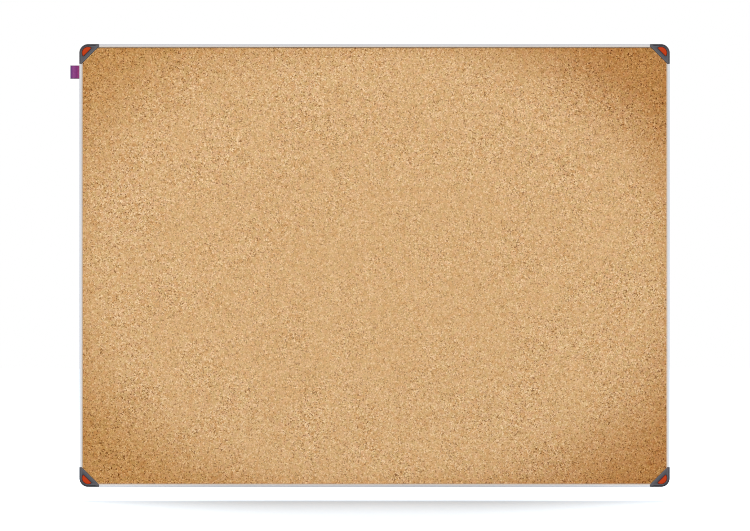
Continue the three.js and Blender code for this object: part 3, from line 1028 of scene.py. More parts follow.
@dataclass(frozen=True)
class WovenTapeFinish:
    """Polyester tape woven on a narrow loom, in plain weave with dyed weft stripes.

    The eye sees matt threads with a faint sheen, soft stripes across the tape and a tighter, darker
    selvedge on both edges.
    """

    reach: float
    height: float
    thread: float = 0.9
    selvedge: tuple[float, float] = (0.6, 1.8)
    selvedge_level: float = 0.72
    weave_level: tuple[float, float] = (0.86, 1.1)
    relief_height: float = 0.1
    stripes: tuple[tuple[float, str], ...] = (
        (0.0, "#553070"), (0.3, "#8C4680"), (0.65, "#7A3070"), (1.0, "#9A4068"),
    )

    def material(self) -> bpy.types.Material:
        """The tape on its UV map: U in metres from the fold, V in metres up the tape.

        Returns:
            The material.
        """
        material, add = new_material("woven_polyester_tape")
        spread = add("SeparateXYZ", {"Vector": add("UVMap", uv_map="along")}).outputs
        from_fold = add("Math", {0: spread["X"]}, operation="ABSOLUTE")
        part = add("MapRange", {"Value": from_fold, "From Max": self.reach * MM})
        dyed = add("ValToRGB", {"Fac": part}, stops=self.stripes)
        # Threads of 0.3 mm are drawn 0.9 mm wide so that the weave shows.
        threads = [add("Math", {0: way, 1: math.pi / (self.thread * MM)}, operation="MULTIPLY")
                   for way in (spread["X"], spread["Y"])]
        warp, weft = (add("Math", {0: count}, operation="SINE") for count in threads)
        weave = add("Math", {0: warp, 1: weft}, operation="MULTIPLY")
        under, over = self.weave_level
        lit = add("MapRange", {"Value": weave, "From Min": -1.0, "To Min": under, "To Max": over})
        middle = add("Math", {0: spread["Y"], 1: self.height * MM / 2}, operation="SUBTRACT")
        out = add("Math", {0: middle}, operation="ABSOLUTE")
        outer, inner = ((self.height / 2 - width) * MM for width in self.selvedge)
        selvedge = add("MapRange", {"Value": out, "From Min": inner, "From Max": outer,
                                    "To Min": 1.0, "To Max": self.selvedge_level})
        level = add("Math", {0: lit, 1: selvedge}, operation="MULTIPLY")
        colour = add("VectorMath", {0: dyed, "Scale": level}, operation="SCALE")
        bump = add("Bump", {"Height": weave, "Strength": 0.3, "Distance": self.relief_height * MM})
        shader = add("BsdfPrincipled", {"Base Color": colour, "Roughness": 0.8,
                                        "Specular IOR Level": 0.3, "Normal": bump})
        add("OutputMaterial", {"Surface": shader})
        return material


# Pieces


@dataclass
class CorkPanel:
    """Cork on a softboard core with a kraft backing."""

    sizes: BoardSizes
    pitch: float = 2.3
    pressed: tuple[float, ...] = (0.0, 1.6, 3.2, 3.5, 3.8, 4.3, 5.2)
    grain: float = 5.2
    crevice: float = 0.3
    unevenness: float = 0.35
    relief: float = 0.072
    sag: float = 0.03
    wave_lengths: tuple[float, float, float] = (47.0, 61.0, 83.0)
    wave_shift: float = 0.8
    sunk: float = 0.02
    slope: float = 0.7
    seed: int = 11

    def lines(self, half: float) -> Array:
        """Grid lines from -half to half: fine ones where the lip presses the cork, even ones between.

        Args:
            half: Half the width or height of the sheet.

        Returns:
            Their places, rising.
        """
        near = np.array(self.pressed)
        count = int(round(2 * (half - near[-1]) / self.pitch))
        inner = np.linspace(near[-1] - half, half - near[-1], count + 1)
        return np.concatenate([near[:-1] - half, inner, (half - near[:-1])[::-1]])

    def surface(self) -> Shell:
        """The sheet as a relief over a grid.

        A row at height z is shortened where the corners are cut, so x = s * reach(z) with s from
        -1 to 1. The front stands at the field's depth, goes down to the pressed margin within the
        lips and the corner plates, and carries grains: crevices from packed cells, a chance height
        for each grain, and long shallow waves.

        Returns:
            The closed sheet.
        """
        k = self.sizes
        half_x, half_z = k.width / 2 - k.panel_edge, k.height / 2 - k.panel_edge
        cut = k.panel_cut - 2 * k.panel_edge
        up = self.lines(half_z)
        reach = half_x - np.maximum(0, cut - (half_z - np.abs(up)))
        x = (self.lines(half_x) / half_x)[None, :] * reach[:, None]
        z = np.broadcast_to(up[:, None], x.shape)
        side, top = k.width / 2 - np.abs(x), k.height / 2 - np.abs(z)
        slant = (side + top - k.corner_diagonal) / math.sqrt(2)
        inside = np.minimum(np.minimum(side, top) - k.lip_width, slant)
        field_part = smooth(inside, 0.0, self.slope)
        crevice, height = granules(x, z, self.grain, self.seed)
        grains = smooth(crevice, 0.0, self.crevice) - 1 + self.unevenness * height
        across, upward, slanted = self.wave_lengths
        waves = np.sin(x / across + self.wave_shift) * np.sin(z / upward) + np.sin((x + z) / slanted)
        margin = k.cork_front + k.cork_squeeze
        depth = margin - k.cork_squeeze * field_part
        depth = depth + field_part * (self.sunk - self.relief * grains - self.sag * waves)
        front = np.stack([x, depth - k.wall_depth, z], axis=2).reshape(-1, 3)
        number = np.arange(x.size).reshape(x.shape)
        edge = np.concatenate([number[0, :], number[1:, -1], number[-1, -2::-1], number[-2:0:-1, 0]])
        behind = front[edge] * [1, 0, 1] + [0, k.cork_back - k.wall_depth, 0]
        low = len(front) + np.arange(len(edge))
        skirt = np.stack([edge, np.roll(edge, -1), np.roll(low, -1), low], axis=1)
        faces = np.concatenate([grid_faces(number), skirt])
        return Shell(np.concatenate([front, behind]), faces, [low]).facing_out()

    def build(self) -> list[bpy.types.Object]:
        """Makes the cork and dresses the two layers behind it, whose solids already have the right shape.

        Returns:
            The cork sheet.
        """
        k = self.sizes
        cork = CorkFinish(k.width / 2, k.height / 2).material()
        core = FibreFinish("wet_pressed_softboard", "#9A7D5C", "#6F573D",
                           fibre=0.5, cloud=14.0, relief=0.4, cloudy=0.4)
        kraft = FibreFinish("kraft_paper", "#BA976D", "#A98960",
                            fibre=0.6, cloud=90.0, relief=0.12, cloudy=0.2)
        dress(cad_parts["softboard_core"], core.material())
        dress(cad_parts["backing_sheet"], kraft.material())
        return [fit(self.surface().piece("cork_face"), cork, "board", "cork_sheet")]


@dataclass
class FrameRails:
    """Four extruded rails."""

    sizes: BoardSizes
    wall: float = 1.2
    back_width: float = 12.0
    mouth: float = 5.6
    front_radius: float = 1.0
    lip_radius: float = 0.7
    web_radius: float = 0.4
    back_radius: float = 0.5
    small_radius: float = 0.15
    sharp: float = 50.0

    def profile(self) -> Array:
        """Cross-section of a rail with rounded corners, from the lip round the web and the key slot.

        Returns:
            Its points: inward from the outer face, and back from the front face.
        """
        k, r = self.sizes, self.small_radius
        left, right = k.slot_middle - self.mouth / 2, k.slot_middle + self.mouth / 2
        corners = [
            (0, 0, self.front_radius), (k.lip_width, 0, self.lip_radius),
            (k.lip_width, k.lip_thickness, self.lip_radius), (self.wall, k.lip_thickness, r),
            (self.wall, k.web_front, r), (self.back_width, k.web_front, self.web_radius),
            (self.back_width, k.rail_depth, self.back_radius), (right, k.rail_depth, r),
            (right, k.slot_back, r), (k.slot_inner, k.slot_back, r), (k.slot_inner, k.slot_front, r),
            (k.slot_outer, k.slot_front, r), (k.slot_outer, k.slot_back, r), (left, k.slot_back, r),
            (left, k.rail_depth, r), (0, k.rail_depth, self.back_radius),
        ]
        return fillet([c[:2] for c in corners], [c[2] for c in corners])

    def surface(self, side: Side) -> Shell:
        """The profile carried straight along the rail, with both ends sawn square.

        Args:
            side: Which rail.

        Returns:
            The placed rail, with a UV map along it.
        """
        k = self.sizes
        span, across = (k.height, k.width) if side.upright else (k.width, k.height)
        along = np.array([-0.5, 0.5]) * (span - 2 * k.rail_setback)
        flat = self.profile()
        rings = np.stack([np.column_stack([flat, np.full(len(flat), z)]) for z in along])
        left = Shell.loft(rings, along=along).moved([-across / 2, -k.wall_depth, 0])
        return left.moved([0, 0, 0], side.turns)

    def build(self) -> list[bpy.types.Object]:
        """Makes and dresses the four rails.

        Returns:
            The rails.
        """
        material = AluminiumFinish().material()
        return [
            fit(self.surface(side).piece(f"rail_{side.label}_extrusion", self.sharp), material,
                "board", f"rail_{side.label}")
            for side in Side
        ]


def outside(normal: Array) -> Array:
    """1 for the normals of a corner's two outer sides and the round between them, 0 for the others."""
    return smooth(np.cos(normal - OUTWARD), *OUTER_SPAN)


def edge_share(normal: Array) -> Array:
    """The rounded front edge: whole on the outer sides, a fifth of it on the square-cut ones."""
    return SQUARE_SHARE + (1 - SQUARE_SHARE) * outside(normal)


def cover_outline(k: BoardSizes) -> Outline:
    """Outline of a screw cover: a slice of a circle with rounded tips, its arc towards the outer corner.

    Args:
        k: The shared sizes.

    Returns:
        The outline, across and up from the outer corner at the top left.
    """
    tip_line = k.cover_chord + k.cover_tip
    side = math.sqrt((k.cover_radius - k.cover_tip) ** 2 - tip_line ** 2)
    lean = math.atan2(tip_line, side)
    flat = np.array([[side, tip_line], [0, 0], [-side, tip_line]])
    turn = QUARTER / 2
    c, s = math.cos(turn), math.sin(turn)
    centres = flat @ np.array([[c, s], [-s, c]]) + [k.corner_radius, -k.corner_radius]
    starts = np.array([-QUARTER, lean, math.pi - lean]) + turn
    ends = np.array([lean, math.pi - lean, 3 * QUARTER]) + turn
    return Outline(centres, np.array([k.cover_tip, k.cover_radius, k.cover_tip]), starts, ends)


@dataclass(frozen=True)
class CornerTones:
    """How far each part of a corner goes from the colour of its face, 0, to that of its edge, 1:
    painted shade on the walls, in the hole, bore, pocket and hollows and in a band along the face's
    edge, and painted reflection on the rounded outer edge.
    """

    face: float = 0.0
    edge: float = 1.0
    side: float = 0.9
    hole: float = 0.5
    bore: float = 0.6
    pocket: float = 0.8
    pocket_rim: float = 0.5
    hollow: float = 0.7
    tongue: float = 0.8
    slant_wall: float = 0.6
    worn_outer: float = 0.42
    grime_outer: float = 0.46
    square_cut: float = 0.3


@dataclass
class CornerMoulding:
    """Moulded corner: front plate, hollow body with a screw boss, and a tongue for each rail."""

    sizes: BoardSizes
    tones: CornerTones = CornerTones()
    leg: float = 26.8
    tip: float = 0.45
    edge_width: float = 2.2
    edge_depth: float = 1.1
    edge_rings: int = 9
    band: float = 2.5
    band_fade: float = 0.4
    wall: float = 1.6
    floor: float = 2.4
    rib: float = 1.0
    hole: float = 3.6
    head_depth: float = 7.5
    boss_wall: float = 1.0
    rim: float = 1.2
    field_gap: float = 0.3
    tongue_length: float = 18.0
    tongue_tip: float = 2.0
    soft: float = 0.2
    fillet: float = 0.3
    pocket_foot: float = 0.05
    back_break: tuple[float, float] = (0.1, 0.12)
    body_inset: float = 0.06
    body_break: tuple[float, float] = (0.18, 0.02)
    foot_round: tuple[float, float] = (0.5, 0.15)
    tongue_round: tuple[float, float] = (0.35, 0.25)
    slant_round: tuple[float, float, float] = (0.2, 0.08, 0.06)
    rib_round: tuple[float, float] = (0.2, 0.15)
    around: int = 320
    sharp: float = 35.0

    @property
    def body_leg(self) -> float:
        """Length of the body along each rail, which ends short of the rail."""
        return self.sizes.rail_setback - self.sizes.end_gap

    def outline(self, leg: float, cut: float, small: float) -> Outline:
        """A triangle with a round outer corner and clipped tips.

        Args:
            leg: Its length along each rail.
            cut: Distances of its slanted edge from both outer faces, added.
            small: Radius of the other corners.

        Returns:
            The outline, across and up from the outer corner at the top left.
        """
        corners = [(0, 0), (0, -leg), (cut - leg, -leg), (leg, leg - cut), (leg, 0)]
        return Outline.polygon(corners, [self.sizes.corner_radius] + 4 * [small])

    def rings(self, place: Place) -> tuple[Array, Array]:
        """The main body as one surface that closes on itself both ways.

        One parameter is the direction about the axis of the wall screw. The other walks through
        the section: up the screw hole and its countersink, across the floor of the pocket and up
        its wall, over the face, down the rounded edge, along the outside, round the back and
        through the hollow to the boss. Each ring is a circle or an outline at one depth, and
        rounded edges are quarter ellipses.

        Args:
            place: Which corner, for the tones.

        Returns:
            The rings, and a tone of painted shade and reflection for each point: 0 on the face, 1 on the
            rounded outer edge.
        """
        k, soft, fillet_radius, tones = self.sizes, self.soft, self.fillet, self.tones
        axis, pocket = k.screw_axis, cover_outline(k)
        plate = self.outline(self.leg, k.corner_diagonal, self.tip)
        body = self.outline(self.body_leg, k.panel_cut - k.end_gap * math.sqrt(2), fillet_radius)
        angle = plate.even_angles(axis, self.around)
        facing = plate.reach(axis, angle, 0.0)[1]
        # Painted reflection: outer edges facing up or down are darkest, those at the sides less so.
        upright = np.abs(np.sin(facing - place.turns * QUARTER))
        edge_reflection = tones.worn_outer + tones.grime_outer * upright
        weight = outside(facing) * edge_reflection + (1 - outside(facing)) * tones.square_cut

        bore, hole, boss = k.screw_head / 2, self.hole / 2, k.screw_head / 2 + self.boss_wall
        floor, front, wall, back = k.pocket_floor, k.plate_front, k.wall_depth, k.plate_back
        head_back, hollow = floor + self.head_depth, floor + self.floor
        gap, foot = k.cover_clearance, self.pocket_foot
        steps = np.linspace(0, 1, self.edge_rings) * QUARTER
        plate_in, plate_up = self.back_break
        body_in, body_down = self.body_break
        foot_in, foot_up = self.foot_round
        # Outline, or none for a circle; inset or radius; depth; tone.
        rows: list[tuple[Optional[Outline], float, float, float]] = [
            (None, hole + soft, wall, tones.hole),
            (None, hole, wall - soft, tones.hole),
            (None, hole, head_back + bore - hole, tones.bore),
            (None, bore, head_back, tones.bore),
            (None, bore, floor + soft, tones.bore),
            (None, bore + soft, floor, tones.bore),
            (pocket, foot, floor, tones.pocket),
            (pocket, foot - gap, floor - soft, tones.pocket),
            (pocket, -gap, front + fillet_radius, tones.side),
        ]
        rows += [(pocket, -gap - fillet_radius * (1 - math.cos(t)),
                  front + fillet_radius * (1 - math.sin(t)), tones.pocket_rim) for t in steps[2::3]]
        rows += [(plate, self.band + self.band_fade, front, tones.face),
                 (plate, self.band, front, tones.side)]
        rows += [(plate, self.edge_width * (1 - math.sin(t)),
                  front + self.edge_depth * (1 - math.cos(t)), tones.edge) for t in steps]
        rows += [
            (plate, 0.0, back - plate_up, tones.edge),
            (plate, plate_in, back, tones.edge),
            (body, body_in, back + body_down, tones.edge),
            (body, self.body_inset, back + soft, tones.side),
            (body, self.body_inset, wall - foot_in, tones.side),
            (body, body_in, wall - foot_up, tones.side),
            (body, foot_in, wall, tones.hollow),
            (body, self.wall - soft, wall, tones.hollow),
            (body, self.wall, wall - soft, tones.hollow),
            (body, self.wall, hollow + fillet_radius, tones.hollow),
            (body, self.wall + fillet_radius, hollow, tones.hollow),
            (None, boss + fillet_radius, hollow, tones.hollow),
            (None, boss, hollow + fillet_radius, tones.hollow),
            (None, boss, wall - soft, tones.hollow),
            (None, boss - soft, wall, tones.hollow),
        ]
        made, shades = [], []
        for outline, amount, depth, tone in rows:
            share = edge_share if outline is plate else None
            length = np.full(len(angle), amount)
            if outline is not None:
                length = outline.reach(axis, angle, amount, share)[0]
            made.append(section(axis + spokes(angle) * length[:, None], depth))
            shades.append(tone * weight if outline is plate else np.full(len(angle), tone))
        return np.stack(made), np.stack(shades)

    def extras(self) -> list[Shell]:
        """Tongues, the wall along the slanted edge and the ribs, each an outline carried through a depth.

        Returns:
            Their surfaces.
        """
        k, bite, tones = self.sizes, self.fillet, self.tones
        outer, inner = k.slot_outer + k.tongue_clearance, k.slot_inner - k.tongue_clearance
        end, root = k.rail_setback + self.tongue_length, self.body_leg - self.wall + self.soft
        c = self.tongue_tip
        across = [(root, -inner), (end - c, -inner), (end, c - inner),
                  (end, -outer - c), (end - c, -outer), (root, -outer)]
        down = [(-y, -x) for x, y in reversed(across)]
        front, back = k.slot_front + k.tongue_clearance, k.slot_back - k.tongue_clearance
        corner, edge = self.tongue_round
        made = [Shell.pillow(Outline.polygon(tongue, [corner] * 6), front, back, edge, tones.tongue)
                for tongue in (across, down)]

        near, far = k.lip_width + self.field_gap, k.corner_diagonal
        inset = far - self.rim * math.sqrt(2)
        strip = [(near, near - inset), (near, near - far), (far - near, -near), (inset - near, -near)]
        blunt, keen, edge = self.slant_round
        slant = Outline.polygon(strip, [blunt, keen, keen, blunt])
        made.append(Shell.pillow(slant, k.plate_back - k.plate_thickness / 4, k.lip_thickness, edge,
                                 tones.slant_wall))

        # The ribs run into the wall, the boss and the floor by as much as the fillets there.
        x, z = k.screw_axis
        boss, half = k.screw_head / 2 + self.boss_wall - bite, self.rib / 2
        near, far = self.wall - bite, self.body_leg - self.wall + bite
        bars = [(near, x - boss, z - half, z + half), (x + boss, far, z - half, z + half),
                (x - half, x + half, z + boss, -near), (x - half, x + half, -far, z - boss)]
        corner, edge = self.rib_round
        for left, right, low, high in bars:
            bar = Outline.polygon([(left, low), (right, low), (right, high), (left, high)], [corner] * 4)
            front = k.pocket_floor + self.floor - bite
            made.append(Shell.pillow(bar, front, k.rail_depth, edge, tones.hollow))
        return made

    def build(self) -> list[bpy.types.Object]:
        """Makes and dresses the four corners.

        Returns:
            The corners.
        """
        # The edge colour is painted shade and painted reflection, laid on by the tone attribute.
        material = MouldedPlasticFinish("moulded_abs_dark_grey", "#626166", "#313035",
                                        roughness=0.58, pebble=1.1, relief=0.12, gloss=0.15).material()
        extras = self.extras()
        made = []
        for place in Place:
            rings, tones = self.rings(place)
            shell = Shell.joined([Shell.loft(rings, endless=True, tone=tones), *extras])
            there = shell.moved(place.origin(self.sizes), place.turns)
            corner = there.piece(f"corner_{place.label}_moulding", self.sharp)
            made.append(fit(corner, material, "board", f"corner_{place.label}"))
        return made


@dataclass
class ScrewCover:
    """Snap-in cover over a wall screw: a domed plate with two sprung prongs behind it."""

    sizes: BoardSizes
    edge: float = 0.6
    edge_rings: int = 8
    crown: float = 0.14
    back_break: float = 0.15
    back_rings: tuple[float, ...] = (0.03, 0.3, 0.7, 1.0)
    dome_rings: tuple[float, ...] = (0.06, 0.15, 0.28, 0.42, 0.56, 0.7, 0.82, 0.92, 0.98)
    edge_fade: float = 0.5
    rim_tone: float = 0.45
    rim_fade: float = 3.5
    stem_radius: float = 2.8
    stem_wall: float = 0.8
    stem_length: float = 4.0
    stem_root: float = 0.3
    stem_taper: tuple[tuple[float, float], ...] = ((0.8, 0.0), (0.15, 0.25), (0.0, 0.4))
    slit: float = 1.2
    around: int = 200
    prong_points: int = 20
    sharp: float = 35.0

    def plate(self) -> Shell:
        """The plate: rings of the outline from the back, round the edge, and shrinking over a dome.

        On the dome a ring is the outline times (1 - f) about the screw axis and stands
        crown * (1 - (1 - f)^2) proud.

        Returns:
            The closed plate.
        """
        k, edge = self.sizes, self.edge
        outline, axis = cover_outline(k), k.screw_axis
        angle = outline.even_angles(axis, self.around)
        front, back = k.cover_front, k.cover_front + k.cover_thickness
        turn = np.linspace(0, 1, self.edge_rings) * QUARTER
        # Inset, scale about the axis, depth and tone of each ring; the rounded edge and the dome's rim are
        # painted darker, as shade in the gap round the cover.
        rows = [(self.back_break, f, back, 1.0) for f in self.back_rings]
        rows += [(0.0, 1.0, back - self.back_break, 1.0)]
        rows += [(edge * (1 - math.cos(t)), 1.0, front + edge * (1 - math.sin(t)),
                  1 - self.edge_fade * t / QUARTER) for t in turn]
        rows += [(edge, 1 - f, front - self.crown * (1 - (1 - f) ** 2),
                  max(0.0, self.rim_tone - self.rim_fade * f)) for f in self.dome_rings]
        rings = []
        for inset, scale, depth, _ in rows:
            length = outline.reach(axis, angle, inset)[0] * scale
            rings.append(section(axis + spokes(angle) * length[:, None], depth))
        tones = np.repeat([[row[3]] for row in rows], len(angle), axis=1)
        return Shell.loft(np.stack(rings), tone=tones)

    def prong(self, way: float) -> Shell:
        """Half of the split stem: a slice of a ring carried backwards, its outside drawn in at the tip.

        Args:
            way: 1 for the half on one side of the slit, -1 for the other.

        Returns:
            The closed prong.
        """
        k = self.sizes
        inner = self.stem_radius - self.stem_wall
        start = k.cover_front + k.cover_thickness - self.stem_root
        end = k.pocket_floor + self.stem_length
        c = math.sqrt(0.5)
        rings = []
        for depth, trim in [(start, 0.0), *((end - before, trim) for before, trim in self.stem_taper)]:
            radius = self.stem_radius - trim
            a, b = math.asin(self.slit / 2 / radius), math.asin(self.slit / 2 / inner)
            out = np.linspace(a, math.pi - a, self.prong_points)
            back = np.linspace(math.pi - b, b, self.prong_points)
            flat = np.concatenate([spokes(out) * radius, spokes(back) * inner]) * way
            rings.append(section(flat @ np.array([[c, c], [-c, c]]) + k.screw_axis, depth))
        return Shell.loft(np.stack(rings))

    def build(self) -> list[bpy.types.Object]:
        """Makes the cover once and places it in the four corners.

        Returns:
            The covers.
        """
        shell = Shell.joined([self.plate(), self.prong(1.0), self.prong(-1.0)])
        # The edge colour is painted shade round the cover, laid on by the tone attribute.
        material = MouldedPlasticFinish("polished_abs_orange_red", "#BE3C12", "#521A14",
                                        roughness=0.38, pebble=1.4, relief=0.05, gloss=0.15).material()
        made = []
        for place in Place:
            there = shell.moved(place.origin(self.sizes), place.turns)
            cover = there.piece(f"cover_{place.label}_insert", self.sharp)
            made.append(fit(cover, material, f"cover_{place.label}", f"screw_cover_{place.label}"))
        return made


@dataclass
class LockingScrews:
    """Eight small pan-head screws that hold the tongues in the rails."""

    sizes: BoardSizes
    setback: float = 9.0
    shank: float = 1.3
    head: float = 2.5
    head_height: float = 0.9
    head_wall: float = 0.45
    head_break: float = 0.08
    neck: float = 0.1
    point: float = 0.45
    point_inset: float = 0.5
    point_radius: float = 0.05
    seat_gap: float = 0.05
    recess: float = 0.5
    recess_length: float = 3.0
    recess_width: float = 0.7
    end_slope: tuple[float, float] = (-0.1, 0.15)
    side_slope: tuple[float, float] = (-0.08, 0.12)
    thread: float = 0.45
    thread_depth: float = 0.1
    around: int = 72
    head_rings: int = 26
    head_centre: float = 0.02
    thread_rings: int = 22
    sharp: float = 45.0

    def surface(self) -> Shell:
        """A turned shape: a radius and a depth for each ring, and a cross pressed into the head.

        The head is a shallow dome. The cross lowers a point by recess * max(bar, other bar), and
        a bar is 1 within its length and width with short slopes. The shank carries a thread, a
        ripple of the radius that turns with the depth.

        Returns:
            The closed screw about its own axis.
        """
        k = self.sizes
        seat = k.slot_back - k.tongue_clearance + self.seat_gap
        tip = k.web_front + self.seat_gap
        angle = np.linspace(0, 2 * math.pi, self.around, endpoint=False)
        dome = np.linspace(self.head_centre, 1, self.head_rings)
        run = np.linspace(seat - self.neck, tip + self.point, self.thread_rings)
        crown = seat + self.head_height * (self.head_wall + (1 - self.head_wall) * np.sqrt(1 - dome ** 3))
        rim = [self.head, self.head - self.head_break, self.shank + self.neck]
        root = np.full(len(run), self.shank - self.thread_depth)
        end = [self.shank - self.point_inset, self.point_radius]
        radius = np.concatenate([self.head * dome, rim, root, end])
        depth = np.concatenate([crown, [seat + self.neck, seat, seat], run, [tip, tip]])
        rings, depths = (np.repeat(row[:, None], len(angle), axis=1) for row in (radius, depth))
        first = len(dome) + len(rim)
        threaded = slice(first, first + len(run))
        rings[threaded] += self.thread_depth * np.cos(2 * math.pi * depths[threaded] / self.thread + angle)
        x, z = rings * np.cos(angle), rings * np.sin(angle)
        half, wide = self.recess_length / 2, self.recess_width / 2
        bars = [smooth(half - np.abs(a), *self.end_slope) * smooth(wide - np.abs(b), *self.side_slope)
                for a, b in ((x, z), (z, x))]
        top = (np.arange(len(radius)) < len(dome))[:, None]
        depths = depths - top * self.recess * np.maximum(*bars)
        return Shell.loft(np.stack([x, depths, z], axis=2))

    def build(self) -> list[bpy.types.Object]:
        """Makes the screw once and places two at each corner.

        Returns:
            The screws.
        """
        k = self.sizes
        shell = self.surface()
        material = ZincSteelFinish().material()
        lock = k.rail_setback + self.setback
        made = []
        for place in Place:
            for which, x, z in (("a", lock, k.slot_middle), ("b", k.slot_middle, lock)):
                there = shell.moved([x, 0, -z]).moved(place.origin(k), place.turns)
                screw = there.piece(f"lock_{place.label}_{which}_screw", self.sharp)
                made.append(fit(screw, material, "board", f"locking_screw_{place.label}_{which}"))
        return made


@dataclass
class FabricTag:
    """Folded tape behind the left rail, its fold standing out past the frame."""

    sizes: BoardSizes
    thickness: float = 0.3
    spare: float = 0.02
    belly: float = 0.5
    ripple: float = 0.12
    ripple_turns: float = 2.2
    layer_points: int = 60
    fold_points: int = 14
    height_points: int = 25
    sharp: float = 60.0

    def path(self, low: Array, high: Array) -> Array:
        """Middle line of the tape, across and in depth: in behind the rail, round the fold and back.

        Both layers run straight behind the rail. Outside it the front layer swells forward by
        belly * sin^2 and the fold is a half circle.

        Args:
            low: Lowest corner of the solid.
            high: Its highest corner.

        Returns:
            Points in order, from the front layer's end to the back layer's.
        """
        rail, layer = -self.sizes.width / 2, self.thickness / 2
        front, back = low[1] + layer, high[1] - layer
        radius = (back - front) / 2
        fold = low[0] + radius + layer
        x = np.linspace(high[0], fold, self.layer_points)
        free = np.clip((rail - x) / (rail - fold), 0, 1)
        upper = np.stack([x, front - self.belly * np.sin(math.pi * free) ** 2], axis=1)
        turn = np.linspace(0, math.pi, self.fold_points)[1:-1] + QUARTER
        bend = spokes(turn) * [radius, -radius] + [fold, (front + back) / 2]
        lower = np.stack([x[::-1], np.full(len(x), back)], axis=1)
        return np.concatenate([upper, bend, lower])

    def build(self) -> list[bpy.types.Object]:
        """Makes the tape as a grid, path by height, gives it its thickness and says what cloth it is.

        Returns:
            The tag.
        """
        low, high = node_box("fabric_tag")
        path, height = self.path(low, high), high[2] - low[2]
        reach = -self.sizes.width / 2 - low[0]
        walked = lengths(path)
        up = np.linspace(0, height, self.height_points)
        # The free end's edges ripple, as a woven tape's do.
        free = np.clip((-self.sizes.width / 2 - path[:, 0]) / reach, 0, 1)
        wave = np.abs(np.sin(up / height * self.ripple_turns * math.pi))
        ripple = self.ripple * free[:, None] * wave[None, :]
        x, z = np.meshgrid(path[:, 0], low[2] + up, indexing="ij")
        faces = grid_faces(np.arange(x.size).reshape(x.shape))
        spread = np.stack(np.meshgrid(walked - walked[-1] / 2, up, indexing="ij"), axis=2).reshape(-1, 2)
        points = np.stack([x, path[:, 1][:, None] - ripple, z], axis=2).reshape(-1, 3)
        tag = Shell(points, faces, [], spread[faces] * MM).piece("fabric_tag_tape", self.sharp)
        body = tag.modifiers.new("thickness", "SOLIDIFY")
        body.thickness = (self.thickness - self.spare) * MM
        body.offset = 0.0
        fit(tag, WovenTapeFinish(reach, height).material(), "board", "fabric_tag")
        return [tag]


# Studio


class Lit(Enum):
    """What a lamp lights, as the state that the floor has for it: all but the floor, or the floor alone."""

    BOARD = "EXCLUDE"
    FLOOR = "INCLUDE"


def linked(name: str, objects: Sequence[bpy.types.Object], state: str) -> bpy.types.Collection:
    """A collection that includes or excludes objects for a lamp.

    Args:
        name: Its name.
        objects: The objects.
        state: Their state for the lamp.

    Returns:
        The collection.
    """
    made = bpy.data.collections.new(name)
    for each in objects:
        made.objects.link(each)
    for entry in made.collection_objects:
        entry.light_linking.link_state = state
    return made


@dataclass(frozen=True)
class Lamp:
    """A rectangular soft lamp that points at the middle of the board, in metres and watts."""

    name: str
    place: tuple[float, float, float]
    size: tuple[float, float]
    power: float
    lit: Lit
    soft_corners: bool = False

    def hang(self, floor: bpy.types.Object, corners: Sequence[bpy.types.Object]) -> None:
        """Puts the lamp in the scene, where no mirror image shows it.

        Args:
            floor: The floor, which a lamp for the board is kept off, as with flags in a studio.
            corners: The corner mouldings, which throw no shadow where the lamp is soft on them.
        """
        data = bpy.data.lights.new(self.name, "AREA")
        data.shape, data.energy = "RECTANGLE", self.power
        data.size, data.size_y = self.size
        made = bpy.data.objects.new(self.name, data)
        made.location = self.place
        made.rotation_euler = (-Vector(self.place)).to_track_quat("-Z", "Y").to_euler()
        made.visible_glossy = False
        bpy.context.scene.collection.objects.link(made)
        made.light_linking.receiver_collection = linked(f"{self.name}_floor", [floor], self.lit.value)
        if self.soft_corners:
            made.light_linking.blocker_collection = linked(f"{self.name}_corners", corners, "EXCLUDE")


